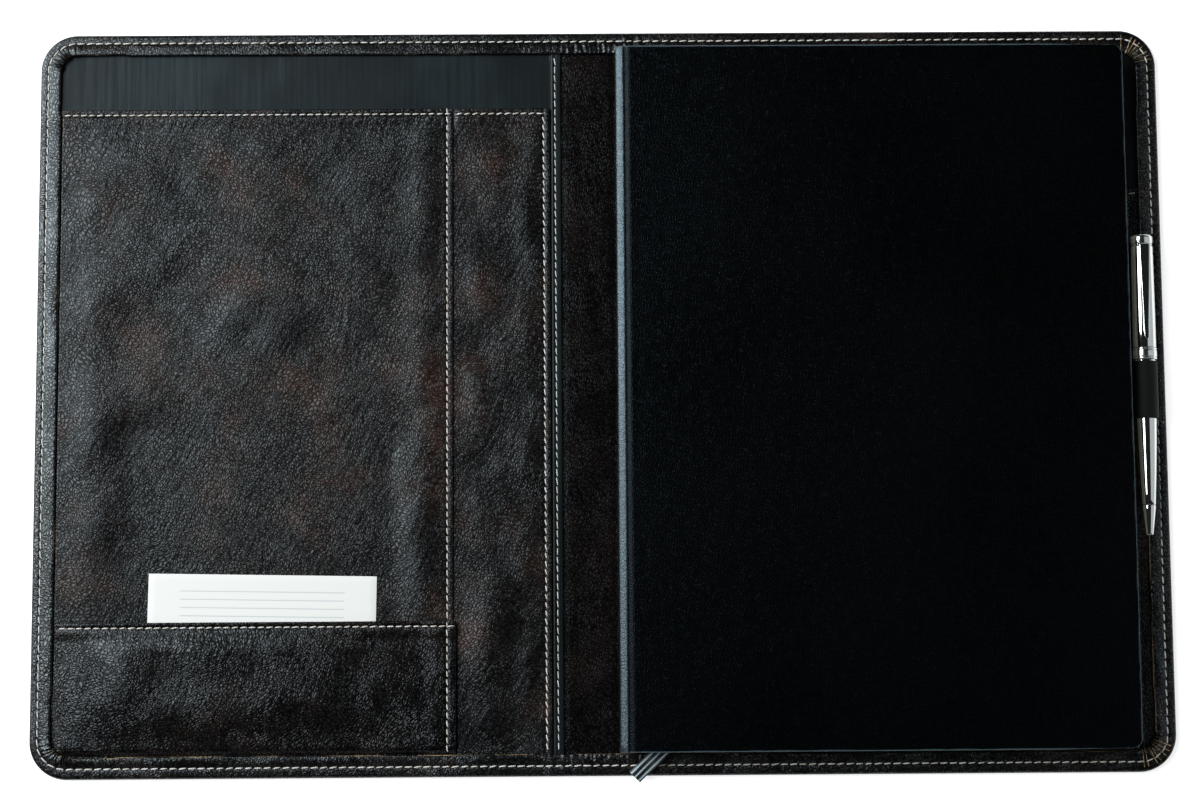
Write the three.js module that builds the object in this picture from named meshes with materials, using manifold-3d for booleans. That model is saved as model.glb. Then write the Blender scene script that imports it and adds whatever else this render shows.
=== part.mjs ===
// Leather portfolio cover, open and flat, with a hardback notebook in its right half and a twist pen in a loop.
// Millimetres. X runs across the open cover, Y towards its top edge, Z up from the surface it lies on.
// The origin is the middle of the open cover, on its underside.
import * as THREE from 'three';
import { mergeVertices } from 'three/addons/utils/BufferGeometryUtils.js';
import Module from 'manifold-3d';

const wasm = await Module();
wasm.setup();

// The open cover. Its back panel and its height come from the notebook that it is made for.
const frontPanelWidth = 240;
const spineWidth = 24;
const bookFromHinge = 0.5;
const penMargin = 19.5;
const coverOverHeight = 22;
const coverCorner = 17;
const foldRadius = 2.2;
const rimWidth = 10;
const rimTuck = 6;

// Thicknesses of its layers
const leather = 1;
const board = 1.8;
const cloth = 0.3;
const pocketLeather = 0.8;
const elastic = 1;
const glue = 0.1;

// Room left between pieces
const clearance = 0.3;
const hingeSlit = 0.3;
const boardSetback = 2;
const layerStep = 0.8;

// Leather strip over the spine, and the lining sewn down on it
const stripOnBack = 15.8;
const liningLap = 4.3;
const liningHemGap = 0.5;

// Pockets and card of the front panel
const pocketDrop = 35.5;
const pocketHem = 7;
const sidePocketWidth = 44.3;
const sidePocketLap = 8.4;
const cardPocketHeight = 69.8;
const cardPocketOverhang = 1.3;
const cardWidth = 103;
const cardHeight = 73;
const cardThickness = 0.4;
const cardFromEdge = 52;
const cardShows = 21.2;
const cardTurn = -1.1;

// Sleeve of the back panel
const sleeveDrop = 73.8;
const sleeveLeftGap = 33;
const sleeveSlope = 3.6;

// Notebook
const notebookWidth = 231;
const notebookHeight = 318;
const notebookCorner = 5;
const notebookBoard = 2.2;
const boardRounding = 0.5;
const spineBoard = 2.4;
const spineRidge = 3.2;
const grooveWidth = 2.6;
const grooveDepth = 1.2;
const grooveCloth = 0.6;
const endpaper = 0.2;
const pageMargin = 3;
const pageCorner = 3;
const keptLeaves = 3.8;
const turningLeaves = 5;
const ribbonGap = 0.8;
const gluedBack = 2.5;
const hollowBack = 0.7;

// Marker ribbon
const ribbonWidth = 6.6;
const ribbonThickness = 0.25;

// Pen: its place, then its pieces from the crown down
const penAcross = 11.5;
const penTopDrop = 97.4;
const crownLength = 4.3;
const crownRadius = 5.15;
const clipRing = 0.8;
const clipLength = 43;
const clipRootWidth = 4.8;
const clipTipWidth = 2.4;
const clipThickness = 0.9;
const clipStandOff = 1.3;
const clipTipLength = 2.5;
const upperBarrelLength = 46.6;
const barrelTopRadius = 5.3;
const barrelRadius = 5.5;
const penWall = 0.9;
const penBore = 4.2;
const centreRingLength = 5.3;
const centreRingRadius = 5.75;
const ringGroove = 0.35;
const lowerBarrelLength = 65.6;
const lowerBarrelRadius = 5;
const loopExitRadius = 4.75;
const coneLength = 13.4;
const coneRadius = 3.2;
const mouthRadius = 1.75;

// Inside the pen
const mechanismDrop = 20;
const mechanismHead = 4;
const mechanismReach = 14;
const refillRadius = 1.5;
const refillGap = 2;
const refillShoulder = 4;
const pointRadius = 1;
const ballRadius = 0.35;
const pointRetract = 1.2;

// Pen loop
const loopHeight = 26;

// Fineness of curved faces
const cornerSteps = 6;
const roundSegments = 24;

// Places along X, from the hinge lines outwards
const backPanelWidth = bookFromHinge + notebookWidth + penMargin;
const coverHeight = notebookHeight + coverOverHeight;
const coverWidth = frontPanelWidth + spineWidth + backPanelWidth;
const coverLeft = -coverWidth / 2;
const coverRight = coverWidth / 2;
const coverTop = coverHeight / 2;
const coverBottom = -coverHeight / 2;
const backHinge = coverRight - backPanelWidth;
const frontHinge = backHinge - spineWidth;

// Heights of the layers, from the underside up
const roomAboveRim = 10;
const boardLow = leather + glue;
const boardHigh = boardLow + board;
const clothLow = boardHigh + glue;
const clothHigh = clothLow + cloth;
const pocketLow = clothHigh + glue;
const pocketHigh = pocketLow + pocketLeather;
const rimLow = pocketHigh + glue;
const rimHigh = rimLow + leather;
const stripHigh = clothLow + pocketLeather;
const lapLow = stripHigh + glue;

const coverBox = { left: coverLeft, right: coverRight, bottom: coverBottom, top: coverTop };
const rimBox = {
  left: coverLeft + rimWidth,
  right: coverRight - rimWidth,
  bottom: coverBottom + rimWidth,
  top: coverTop - rimWidth,
};

// Materials
const hide = new THREE.MeshStandardMaterial({ color: '#33241e', roughness: 0.45, metalness: 0 });
const pocketHide = new THREE.MeshStandardMaterial({ color: '#36271f', roughness: 0.42, metalness: 0 });
const liningCloth = new THREE.MeshStandardMaterial({ color: '#1b2226', roughness: 0.6, metalness: 0 });
const greyBoard = new THREE.MeshStandardMaterial({ color: '#8c8276', roughness: 0.95, metalness: 0 });
const bookCloth = new THREE.MeshStandardMaterial({ color: '#0e1013', roughness: 0.5, metalness: 0 });
const paper = new THREE.MeshStandardMaterial({ color: '#efe9da', roughness: 0.9, metalness: 0 });
const card = new THREE.MeshStandardMaterial({ color: '#f6f6f4', roughness: 0.8, metalness: 0 });
const bandCloth = new THREE.MeshStandardMaterial({ color: '#2a3036', roughness: 0.8, metalness: 0 });
const ribbonSatin = new THREE.MeshStandardMaterial({ color: '#14161a', roughness: 0.4, metalness: 0 });
const elasticWeb = new THREE.MeshStandardMaterial({ color: '#0f1012', roughness: 0.85, metalness: 0 });
const chrome = new THREE.MeshStandardMaterial({ color: '#d9d5cc', roughness: 0.12, metalness: 1 });
const brass = new THREE.MeshStandardMaterial({ color: '#b08d4a', roughness: 0.3, metalness: 1 });
const refillPlastic = new THREE.MeshStandardMaterial({ color: '#c9cdd0', roughness: 0.4, metalness: 0 });

const part = new THREE.Group();
part.name = 'leather_notebook';

// Adds one named piece to the part
function addPiece(name, geometry, material) {
  const mesh = new THREE.Mesh(geometry, material);
  mesh.name = name;
  part.add(mesh);
}

// A closed geometry as a solid that can be joined and cut
function solidOf(geometry) {
  const bare = geometry.clone();
  bare.deleteAttribute('normal');
  bare.deleteAttribute('uv');
  const merged = mergeVertices(bare, 1e-4);
  return new wasm.Manifold(new wasm.Mesh({
    numProp: 3,
    vertProperties: new Float32Array(merged.attributes.position.array),
    triVerts: new Uint32Array(merged.index.array),
  }));
}

// The solid back as a geometry
function geometryOf(solid) {
  const mesh = solid.getMesh();
  const geometry = new THREE.BufferGeometry();
  geometry.setAttribute('position', new THREE.BufferAttribute(mesh.vertProperties, 3));
  geometry.setIndex(new THREE.BufferAttribute(mesh.triVerts, 1));
  geometry.computeVertexNormals();
  return geometry;
}

function joined(...geometries) {
  return geometryOf(geometries.map(solidOf).reduce((whole, piece) => whole.add(piece)));
}

function cutAway(geometry, ...tools) {
  return geometryOf(tools.map(solidOf).reduce((rest, tool) => rest.subtract(tool), solidOf(geometry)));
}

function commonTo(first, second) {
  return geometryOf(solidOf(first).intersect(solidOf(second)));
}

// A rectangular block between two corners
function block(left, right, bottom, top, low, high) {
  const geometry = new THREE.BoxGeometry(right - left, top - bottom, high - low);
  geometry.translate((left + right) / 2, (bottom + top) / 2, (low + high) / 2);
  return geometry;
}

// One ring of a rounded rectangle set in by inset, at one height
function cornerRing(box, radius, inset, height) {
  const round = Math.max(radius - inset, 0.4);
  const right = box.right - inset - round;
  const left = box.left + inset + round;
  const top = box.top - inset - round;
  const bottom = box.bottom + inset + round;
  const centres = [[right, top], [left, top], [left, bottom], [right, bottom]];
  const ring = [];
  centres.forEach(([x, y], quarter) => {
    for (let step = 0; step <= cornerSteps; step++) {
      const angle = (quarter + step / cornerSteps) * Math.PI / 2;
      ring.push([x + round * Math.cos(angle), y + round * Math.sin(angle), height]);
    }
  });
  return ring;
}

// A closed body through rings of equal count: the first faces down and the last faces up
function loft(rings) {
  const count = rings[0].length;
  const index = [];
  for (let level = 1; level < rings.length; level++) {
    for (let side = 0; side < count; side++) {
      const near = (level - 1) * count + side;
      const next = (level - 1) * count + (side + 1) % count;
      index.push(near, next, next + count, near, next + count, near + count);
    }
  }
  const last = (rings.length - 1) * count;
  for (let side = 1; side < count - 1; side++) {
    index.push(0, side + 1, side, last, last + side, last + side + 1);
  }
  const geometry = new THREE.BufferGeometry();
  geometry.setAttribute('position', new THREE.Float32BufferAttribute(rings.flat(2), 3));
  geometry.setIndex(index);
  return geometry;
}

// A rounded rectangle plate
function roundedPlate(box, radius, low, high) {
  return loft([cornerRing(box, radius, 0, low), cornerRing(box, radius, 0, high)]);
}

// A flat outline raised from one height to another, with its edges eased by rounding
function plate(outline, low, high, rounding = 0) {
  const geometry = new THREE.ExtrudeGeometry(outline, {
    depth: high - low - 2 * rounding,
    bevelEnabled: rounding > 0,
    bevelThickness: rounding,
    bevelSize: rounding,
    bevelOffset: -rounding,
    bevelSegments: 2,
    curveSegments: cornerSteps,
  });
  geometry.translate(0, 0, low + rounding);
  return geometry;
}

// An outline drawn in X and Z, carried along Y
function prismAlongY(outline, from, to) {
  const geometry = new THREE.ExtrudeGeometry(outline, {
    depth: to - from,
    bevelEnabled: false,
    curveSegments: cornerSteps,
  });
  geometry.rotateX(Math.PI / 2);
  geometry.translate(0, to, 0);
  return geometry;
}

function polygon(points) {
  return new THREE.Shape(points.map(([x, y]) => new THREE.Vector2(x, y)));
}

// A thin sheet on a grid of lines. low gives the height of its underside, thick its thickness,
// and kept says which cells of the grid it covers.
function sheet(xs, ys, low, thick, kept = () => true) {
  const corners = [];
  const point = (i, j, top) => {
    const under = low(xs[i], ys[j]);
    return [xs[i], ys[j], top ? under + thick(xs[i], ys[j]) : under];
  };
  const covers = (i, j) => i >= 0 && j >= 0 && i < xs.length - 1 && j < ys.length - 1
    && kept((xs[i] + xs[i + 1]) / 2, (ys[j] + ys[j + 1]) / 2);
  const face = (a, b, c, d) => corners.push(a, b, c, a, c, d);
  const wall = (i, j, k, l) => face(point(i, j, false), point(k, l, false), point(k, l, true), point(i, j, true));
  for (let i = 0; i < xs.length - 1; i++) {
    for (let j = 0; j < ys.length - 1; j++) {
      if (!covers(i, j)) continue;
      face(point(i, j, true), point(i + 1, j, true), point(i + 1, j + 1, true), point(i, j + 1, true));
      face(point(i, j, false), point(i, j + 1, false), point(i + 1, j + 1, false), point(i + 1, j, false));
      if (!covers(i, j - 1)) wall(i, j, i + 1, j);
      if (!covers(i + 1, j)) wall(i + 1, j, i + 1, j + 1);
      if (!covers(i, j + 1)) wall(i + 1, j + 1, i, j + 1);
      if (!covers(i - 1, j)) wall(i, j + 1, i, j);
    }
  }
  const geometry = new THREE.BufferGeometry();
  geometry.setAttribute('position', new THREE.Float32BufferAttribute(corners.flat(), 3));
  return geometry;
}

// The space that layers tucked under the rim may fill, with the cover's own rounded corners
function insideRim(geometry) {
  const room = rimWidth - rimTuck;
  const heights = [0, rimHigh + roomAboveRim];
  const space = loft(heights.map((height) => cornerRing(coverBox, coverCorner, room, height)));
  return commonTo(geometry, space);
}

// Outer leather: a flat skin whose edge is folded up and turned in over all the layers as a rim
function turnedEdgeLeather() {
  const topRound = foldRadius * 0.7;
  const rings = [];
  const addRing = (inset, height) => rings.push(cornerRing(coverBox, coverCorner, inset, height));
  for (let step = 0; step <= 4; step++) {
    const angle = step / 4 * Math.PI / 2;
    addRing(foldRadius * (1 - Math.sin(angle)), foldRadius * (1 - Math.cos(angle)));
  }
  for (let step = 0; step <= 3; step++) {
    const angle = step / 3 * Math.PI / 2;
    addRing(topRound * (1 - Math.cos(angle)), rimHigh - topRound * (1 - Math.sin(angle)));
  }
  addRing(rimWidth - leather / 4, rimHigh);
  addRing(rimWidth, rimHigh - leather / 4);
  addRing(rimWidth, rimLow);
  addRing(leather, rimLow);
  addRing(leather, leather);
  return loft(rings);
}

// The three parts of the leather between the two fold lines, each fold line open by a slit
function addOuterLeather() {
  const whole = turnedEdgeLeather();
  const strip = (left, right) => block(left, right, coverBottom - 1, coverTop + 1, -1, rimHigh + 1);
  const half = hingeSlit / 2;
  addPiece('front_leather', commonTo(whole, strip(coverLeft - 1, frontHinge - half)), hide);
  addPiece('spine_leather', commonTo(whole, strip(frontHinge + half, backHinge - half)), hide);
  addPiece('back_leather', commonTo(whole, strip(backHinge + half, coverRight + 1)), hide);
}

// Stiff boards in both halves and the narrow one between the fold lines
function addBoards() {
  const inset = leather + clearance;
  const corner = coverCorner - inset;
  const across = (left, right) => ({ left, right, bottom: coverBottom + inset, top: coverTop - inset });
  const fullWidth = across(coverLeft + inset, coverRight - inset);
  const whole = roundedPlate(fullWidth, corner, boardLow, boardHigh);
  const strip = (left, right) => block(left, right, coverBottom, coverTop, 0, rimHigh);
  addPiece('front_board', commonTo(whole, strip(coverLeft, frontHinge - boardSetback)), greyBoard);
  addPiece('spine_stiffener', commonTo(whole, strip(frontHinge + boardSetback, backHinge - boardSetback)), greyBoard);
  addPiece('back_board', commonTo(whole, strip(backHinge + boardSetback, coverRight)), greyBoard);
}

const tuckLeft = coverLeft + rimWidth - rimTuck;
const tuckRight = coverRight - rimWidth + rimTuck;
const tuckBottom = coverBottom + rimWidth - rimTuck;
const tuckTop = coverTop - rimWidth + rimTuck;
const stripFrontEnd = frontHinge - hingeSlit - liningLap;
const stripBackEnd = backHinge + stripOnBack;

// Leather strip over the spine: a middle part, and an edge part on each panel under its lining
function addSpineLining() {
  const half = hingeSlit / 2;
  const strip = (left, right) => block(left, right, tuckBottom, tuckTop, clothLow, stripHigh);
  addPiece('spine_lining_front_edge', strip(stripFrontEnd, frontHinge - half), pocketHide);
  addPiece('spine_lining', strip(frontHinge + half, backHinge - half), pocketHide);
  addPiece('spine_lining_back_edge', strip(backHinge + half, stripBackEnd), pocketHide);
}

// Lining of each half, whose hemmed edge beside the spine lies on the leather strip
function addLinings() {
  const front = sheet(
    [tuckLeft, stripFrontEnd - liningHemGap, stripFrontEnd, frontHinge - hingeSlit],
    [tuckBottom, tuckTop],
    (x) => (x < stripFrontEnd ? clothLow : lapLow),
    () => cloth,
  );
  const back = sheet(
    [stripBackEnd - liningLap, stripBackEnd, stripBackEnd + liningHemGap, tuckRight],
    [tuckBottom, tuckTop],
    (x) => (x > stripBackEnd ? clothLow : lapLow),
    () => cloth,
  );
  addPiece('front_lining', insideRim(front), liningCloth);
  addPiece('back_lining', insideRim(back), liningCloth);
}

// Places of the front panel's pockets
const sidePocketRight = stripFrontEnd - liningHemGap - clearance;
const documentRight = sidePocketRight - sidePocketWidth;
const sidePocketLeft = documentRight - sidePocketLap;
const pocketTop = coverTop - pocketDrop;
const cardPocketTop = coverBottom + cardPocketHeight;
const overSidePocket = pocketHigh + glue;
const nearRim = clearance;
const flangeX = rimBox.left + nearRim;
const flangeY = rimBox.bottom + nearRim;
const cornerOffsets = [0, 1, 2, 3, 4.2, 5.6, 7.4].map((share) => share * layerStep);
const hemThickness = (x, y, top, from) => (x > from && y > top - pocketHem ? 2 * pocketLeather : pocketLeather);

// How far a point lies inside the rim's raw edge, whose corners are rounded
function insideRawEdge(x, y) {
  const round = Math.max(coverCorner - rimWidth, 0.4);
  const across = x - rimBox.left;
  const along = y - rimBox.bottom;
  if (across > round || along > round) return Math.min(across, along);
  return round - Math.hypot(round - across, round - along);
}

// Narrow pocket beside the fold line, with a doubled hem at its top edge
function addSidePocket() {
  const top = pocketTop;
  const ys = [tuckBottom, top - pocketHem, top - pocketHem + layerStep / 2, top];
  const shown = documentRight + clearance;
  const xs = [sidePocketLeft, shown, shown + layerStep / 2, sidePocketRight];
  const pocket = sheet(xs, ys, () => pocketLow, (x, y) => hemThickness(x, y, top, shown));
  addPiece('side_pocket', insideRim(pocket), pocketHide);
}

// Large pocket, whose right edge laps over the side pocket and whose foot is sewn down under the card pocket
function addDocumentPocket() {
  const top = pocketTop;
  const lap = sidePocketLeft - clearance;
  const xs = [tuckLeft, flangeX, flangeX + layerStep, lap - layerStep, lap, documentRight];
  const ys = [tuckBottom, top - pocketHem, top - pocketHem + layerStep / 2, top];
  const low = (x) => (x >= lap ? overSidePocket : pocketLow);
  const pocket = sheet(xs, ys, low, (x, y) => hemThickness(x, y, top, flangeX));
  const inset = rimWidth + nearRim + layerStep + clearance;
  const room = loft([-1, rimHigh + roomAboveRim].map((height) => cornerRing(coverBox, coverCorner, inset, height)));
  const belowCardPocket = block(coverLeft, frontHinge, coverBottom, cardPocketTop + clearance, 0, rimHigh + 1);
  addPiece('document_pocket', insideRim(cutAway(pocket, cutAway(belowCardPocket, room))), pocketHide);
}

// Card pocket across the foot of the large pocket, with room for the card behind it
function addCardPocket() {
  const lap = sidePocketLeft - clearance - layerStep;
  const rise = lap - layerStep;
  const overCard = pocketHigh + cardThickness + 2 * glue;
  const overLap = overSidePocket + pocketLeather + glue;
  const right = documentRight + cardPocketOverhang;
  const xs = [tuckLeft, ...cornerOffsets.map((offset) => flangeX + offset), rise, lap, right];
  const hem = cardPocketTop - pocketHem;
  const ys = [tuckBottom, ...cornerOffsets.map((offset) => flangeY + offset), hem, hem + layerStep / 2, cardPocketTop];
  const low = (x, y) => {
    if (x >= lap) return overLap;
    const raised = (insideRawEdge(x, y) - 1.6 * nearRim) / layerStep;
    return THREE.MathUtils.lerp(pocketLow, overCard, THREE.MathUtils.clamp(raised, 0, 1));
  };
  const kept = (x, y) => x < rise || y > flangeY;
  const thick = (x, y) => hemThickness(x, y, cardPocketTop, flangeX);
  addPiece('card_pocket', insideRim(sheet(xs, ys, low, thick, kept)), pocketHide);
}

// Card standing a little askew in its pocket
function addCard() {
  const low = pocketHigh + glue;
  const top = cardPocketTop + cardShows;
  const left = coverLeft + cardFromEdge;
  const geometry = block(-cardWidth / 2, cardWidth / 2, -cardHeight / 2, cardHeight / 2, low, low + cardThickness);
  geometry.rotateZ(THREE.MathUtils.degToRad(cardTurn));
  geometry.translate(left + cardWidth / 2, top - cardHeight / 2, 0);
  addPiece('note_card', geometry, card);
}

// Places of the notebook and of the sleeve round its back cover
const bookLeft = backHinge + bookFromHinge;
const bookRight = bookLeft + notebookWidth;
const bookBottom = rimBox.bottom + 2 * clearance + pocketLeather;
const bookTop = bookBottom + notebookHeight;
const bookLow = rimHigh + clearance;
const backBoardHigh = bookLow + notebookBoard;
const sleeveLow = backBoardHigh + glue + endpaper + clearance;
const sleeveHigh = sleeveLow + pocketLeather;
const pagesLow = sleeveHigh + clearance;
const keptHigh = pagesLow + keptLeaves;
const turningLow = keptHigh + ribbonGap;
const turningHigh = turningLow + turningLeaves;
const frontBoardLow = turningHigh + 2 * glue + endpaper;
const bookHigh = frontBoardLow + notebookBoard;
const boardLeft = bookLeft + spineRidge + grooveWidth;
const pagesRight = bookRight - pageMargin;
const pagesBottom = bookBottom + pageMargin;
const pagesTop = bookTop - pageMargin;
const backInside = bookLeft + spineBoard + hollowBack;
const turningLeft = backInside + gluedBack + clearance;

// Places of the pen, which lies on the rim beside the notebook
const penTop = coverTop - penTopDrop;
const penX = coverRight - penAcross;
const penZ = rimHigh + clearance + elastic + lowerBarrelRadius + clearance;
const loopInner = lowerBarrelRadius + clearance;
const loopOuter = loopInner + elastic;
const clipRingAt = crownLength + glue;
const barrelAt = clipRingAt + clipRing + glue;
const centreRingAt = barrelAt + upperBarrelLength + glue;
const lowerAt = centreRingAt + centreRingLength + glue;
const coneAt = lowerAt + lowerBarrelLength;
const penLength = coneAt + glue + coneLength;
const loopAt = lowerAt + glue;
const loopUpper = penTop - loopAt;
const loopLower = loopUpper - loopHeight;

// Sleeve over the notebook's back cover: closed at the foot and at the outer edge, open at the top and beside the spine
function addSleeve() {
  const left = bookLeft + sleeveLeftGap;
  const top = coverTop - sleeveDrop;
  const inner = bookBottom - clearance;
  const outer = inner - pocketLeather;
  const edge = bookRight + clearance;
  const shell = polygon([
    [left, pocketLow],
    [edge + sleeveSlope + pocketLeather, pocketLow],
    [edge + pocketLeather, sleeveHigh],
    [left, sleeveHigh],
  ]);
  const room = polygon([
    [left - 1, 0],
    [edge + sleeveSlope + pocketLeather / 4, 0],
    [edge + sleeveSlope - pocketLeather / 4, pocketLow],
    [edge, sleeveLow],
    [left - 1, sleeveLow],
  ]);
  const hollow = cutAway(prismAlongY(shell, outer, top), prismAlongY(room, inner, top + 1));
  const footFlange = block(left, tuckRight, tuckBottom, inner, pocketLow, pocketHigh);
  const sideFlange = block(edge + sleeveSlope, tuckRight, tuckBottom, top, pocketLow, pocketHigh);
  const hem = block(left, edge, top - pocketHem, top, sleeveHigh - glue, sleeveHigh + clearance / 2);
  const loopNotch = block(
    penX - 2 * elastic,
    coverRight,
    loopLower - clearance,
    loopUpper + clearance,
    0,
    rimLow,
  );
  const whole = joined(hollow, footFlange, sideFlange, hem);
  addPiece('notebook_sleeve', insideRim(cutAway(whole, loopNotch)), pocketHide);
}

// Elastic loop round the pen, both its ends sewn in under the rim
function addPenLoop() {
  const ring = new THREE.Shape();
  ring.absarc(penX, penZ, loopOuter, 0, 2 * Math.PI);
  const bore = new THREE.Shape();
  bore.absarc(penX, penZ, loopInner, 0, 2 * Math.PI);
  const neckRight = rimBox.right - clearance;
  const neckLeft = neckRight - 2 * elastic;
  const neckHigh = penZ - loopInner;
  const tail = polygon([
    [neckLeft, pocketLow],
    [tuckRight, pocketLow],
    [tuckRight, pocketHigh],
    [neckRight, pocketHigh],
    [neckRight, neckHigh],
    [neckLeft, neckHigh],
  ]);
  const solid = joined(
    prismAlongY(ring, loopLower, loopUpper),
    prismAlongY(tail, loopLower, loopUpper),
  );
  addPiece('pen_loop', cutAway(solid, prismAlongY(bore, loopLower - 1, loopUpper + 1)), elasticWeb);
}

// Outline of a board or a leaf: square beside the spine, rounded at the two outer corners
function leafOutline(left, right, bottom, top, radius) {
  const outline = new THREE.Shape();
  outline.moveTo(left, bottom);
  outline.lineTo(right - radius, bottom);
  outline.absarc(right - radius, bottom + radius, radius, -Math.PI / 2, 0);
  outline.lineTo(right, top - radius);
  outline.absarc(right - radius, top - radius, radius, 0, Math.PI / 2);
  outline.lineTo(left, top);
  return outline;
}

// Case of the notebook: two boards, and a spine whose cloth runs into a pressed groove along each board
function addNotebookCase() {
  const outline = leafOutline(boardLeft, bookRight, bookBottom, bookTop, notebookCorner);
  addPiece('notebook_back_board', plate(outline, bookLow, backBoardHigh, boardRounding), bookCloth);
  addPiece('notebook_front_board', plate(outline, frontBoardLow, bookHigh, boardRounding), bookCloth);
  const round = spineRidge / 2;
  const grooveHigh = bookHigh - grooveDepth;
  const grooveLow = bookLow + grooveDepth;
  const webEnd = boardLeft - clearance;
  const spine = new THREE.Shape();
  spine.moveTo(bookLeft + round, bookLow);
  spine.absarc(bookLeft + round, bookLow + round, round, -Math.PI / 2, -Math.PI, true);
  spine.absarc(bookLeft + round, bookHigh - round, round, Math.PI, 0, true);
  spine.lineTo(bookLeft + spineRidge + glue, grooveHigh);
  spine.lineTo(webEnd, grooveHigh);
  spine.lineTo(webEnd, grooveHigh - grooveCloth);
  spine.lineTo(bookLeft + spineBoard, grooveHigh - grooveCloth);
  spine.lineTo(bookLeft + spineBoard, grooveLow + grooveCloth);
  spine.lineTo(webEnd, grooveLow + grooveCloth);
  spine.lineTo(webEnd, grooveLow);
  spine.lineTo(bookLeft + spineRidge + glue, grooveLow);
  spine.absarc(bookLeft + round, bookLow + round, round, 0, -Math.PI / 2, true);
  addPiece('notebook_spine', prismAlongY(spine, bookBottom, bookTop), bookCloth);
}

// Pages: the block that stays, with the glued back of the whole block, and the leaves that turn with the cover
function addPages() {
  const whole = plate(leafOutline(backInside, pagesRight, pagesBottom, pagesTop, pageCorner), pagesLow, turningHigh);
  const turnedAway = block(backInside + gluedBack, bookRight, bookBottom, bookTop, keptHigh, bookHigh);
  addPiece('page_block', cutAway(whole, turnedAway), paper);
  const turning = leafOutline(turningLeft, pagesRight, pagesBottom, pagesTop, pageCorner);
  addPiece('front_pages', plate(turning, turningLow, turningHigh), paper);
  const pasted = leafOutline(boardLeft, bookRight - pageMargin / 2, pagesBottom, pagesTop, pageCorner);
  addPiece('back_endpaper', plate(pasted, backBoardHigh + glue, backBoardHigh + glue + endpaper), paper);
  addPiece('front_endpaper', plate(pasted, frontBoardLow - glue - endpaper, frontBoardLow - glue), paper);
}

// Cloth bands at the head and the tail of the glued back, each a half round bead
function addHeadbands() {
  const radius = (gluedBack - glue) / 2;
  const bead = (y, turn) => {
    const outline = new THREE.Shape();
    outline.absarc(backInside + gluedBack / 2, y, radius, turn, turn + Math.PI);
    return plate(outline, pagesLow + clearance, turningHigh - clearance);
  };
  addPiece('headband', bead(pagesTop + glue, 0), bandCloth);
  addPiece('tailband', bead(pagesBottom - glue, Math.PI), bandCloth);
}

// Route of the marker ribbon: from the head of the glued back, between the leaves, out at the tail
// and down over the rim. Each point is its distance from the spine's outer face, its distance from the
// head of the leaves, or from their tail, and how far it has come down from the leaves to the rim.
const ribbonInside = keptHigh + ribbonGap * 0.6;
const ribbonOnRim = rimHigh + ribbonThickness + glue;
const ribbonFromHead = [
  [10.4, 0.4],
  [11.2, 21.4],
  [15, 44.4],
  [21.5, 68.4],
  [31, 92.4],
  [41, 116.4],
  [50, 141.4],
];
const ribbonFromTail = [
  [57, 145.8, 0],
  [61.5, 120.8, 0],
  [63.5, 95.8, 0],
  [62.5, 72.8, 0],
  [58.5, 52.8, 0],
  [52, 36.3, 0],
  [44.5, 23.8, 0],
  [37, 14.8, 0],
  [30, 7.5, 0],
  [25, 2.5, 0],
  [21.4, -1.1, 0],
  [18.8, -3.6, 0.07],
  [16.2, -6.2, 0.28],
  [13.4, -9, 0.63],
  [10.4, -12, 0.9],
  [7.1, -15.2, 1],
];

function ribbonRoute() {
  const inside = ribbonFromHead.map(([x, y]) => new THREE.Vector3(bookLeft + x, pagesTop - y, ribbonInside));
  const outside = ribbonFromTail.map(([x, y, fall]) => (
    new THREE.Vector3(bookLeft + x, pagesBottom + y, THREE.MathUtils.lerp(ribbonInside, ribbonOnRim, fall))));
  return new THREE.CatmullRomCurve3([...inside, ...outside], false, 'centripetal');
}

// A flat strip carried along the route, always level across its width
function addMarkerRibbon() {
  const curve = ribbonRoute();
  const rings = [];
  const steps = 60;
  for (let step = 0; step <= steps; step++) {
    const at = curve.getPointAt(step / steps);
    const along = curve.getTangentAt(step / steps);
    const across = new THREE.Vector2(-along.y, along.x).normalize().multiplyScalar(ribbonWidth / 2);
    const half = ribbonThickness / 2;
    rings.push([
      [at.x - across.x, at.y - across.y, at.z - half],
      [at.x + across.x, at.y + across.y, at.z - half],
      [at.x + across.x, at.y + across.y, at.z + half],
      [at.x - across.x, at.y - across.y, at.z + half],
    ]);
  }
  addPiece('marker_ribbon', loft(rings), ribbonSatin);
}

// A body of revolution on the pen's axis, from pairs of radius and distance below the crown's top,
// listed either way round
function turned(profile) {
  const points = profile.map(([radius, along]) => new THREE.Vector2(radius, penTop - along));
  if (THREE.ShapeUtils.area(points) < 0) points.reverse();
  const geometry = new THREE.LatheGeometry(points, roundSegments);
  geometry.translate(penX, 0, penZ);
  return geometry;
}

// Crown of the pen with its domed top
function addCrown() {
  const dome = crownRadius * 0.28;
  addPiece('pen_crown', turned([
    [0, crownLength],
    [crownRadius, crownLength],
    [crownRadius, dome],
    [crownRadius * 0.86, dome * 0.35],
    [crownRadius * 0.5, dome * 0.06],
    [0, 0],
  ]), chrome);
}

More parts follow.
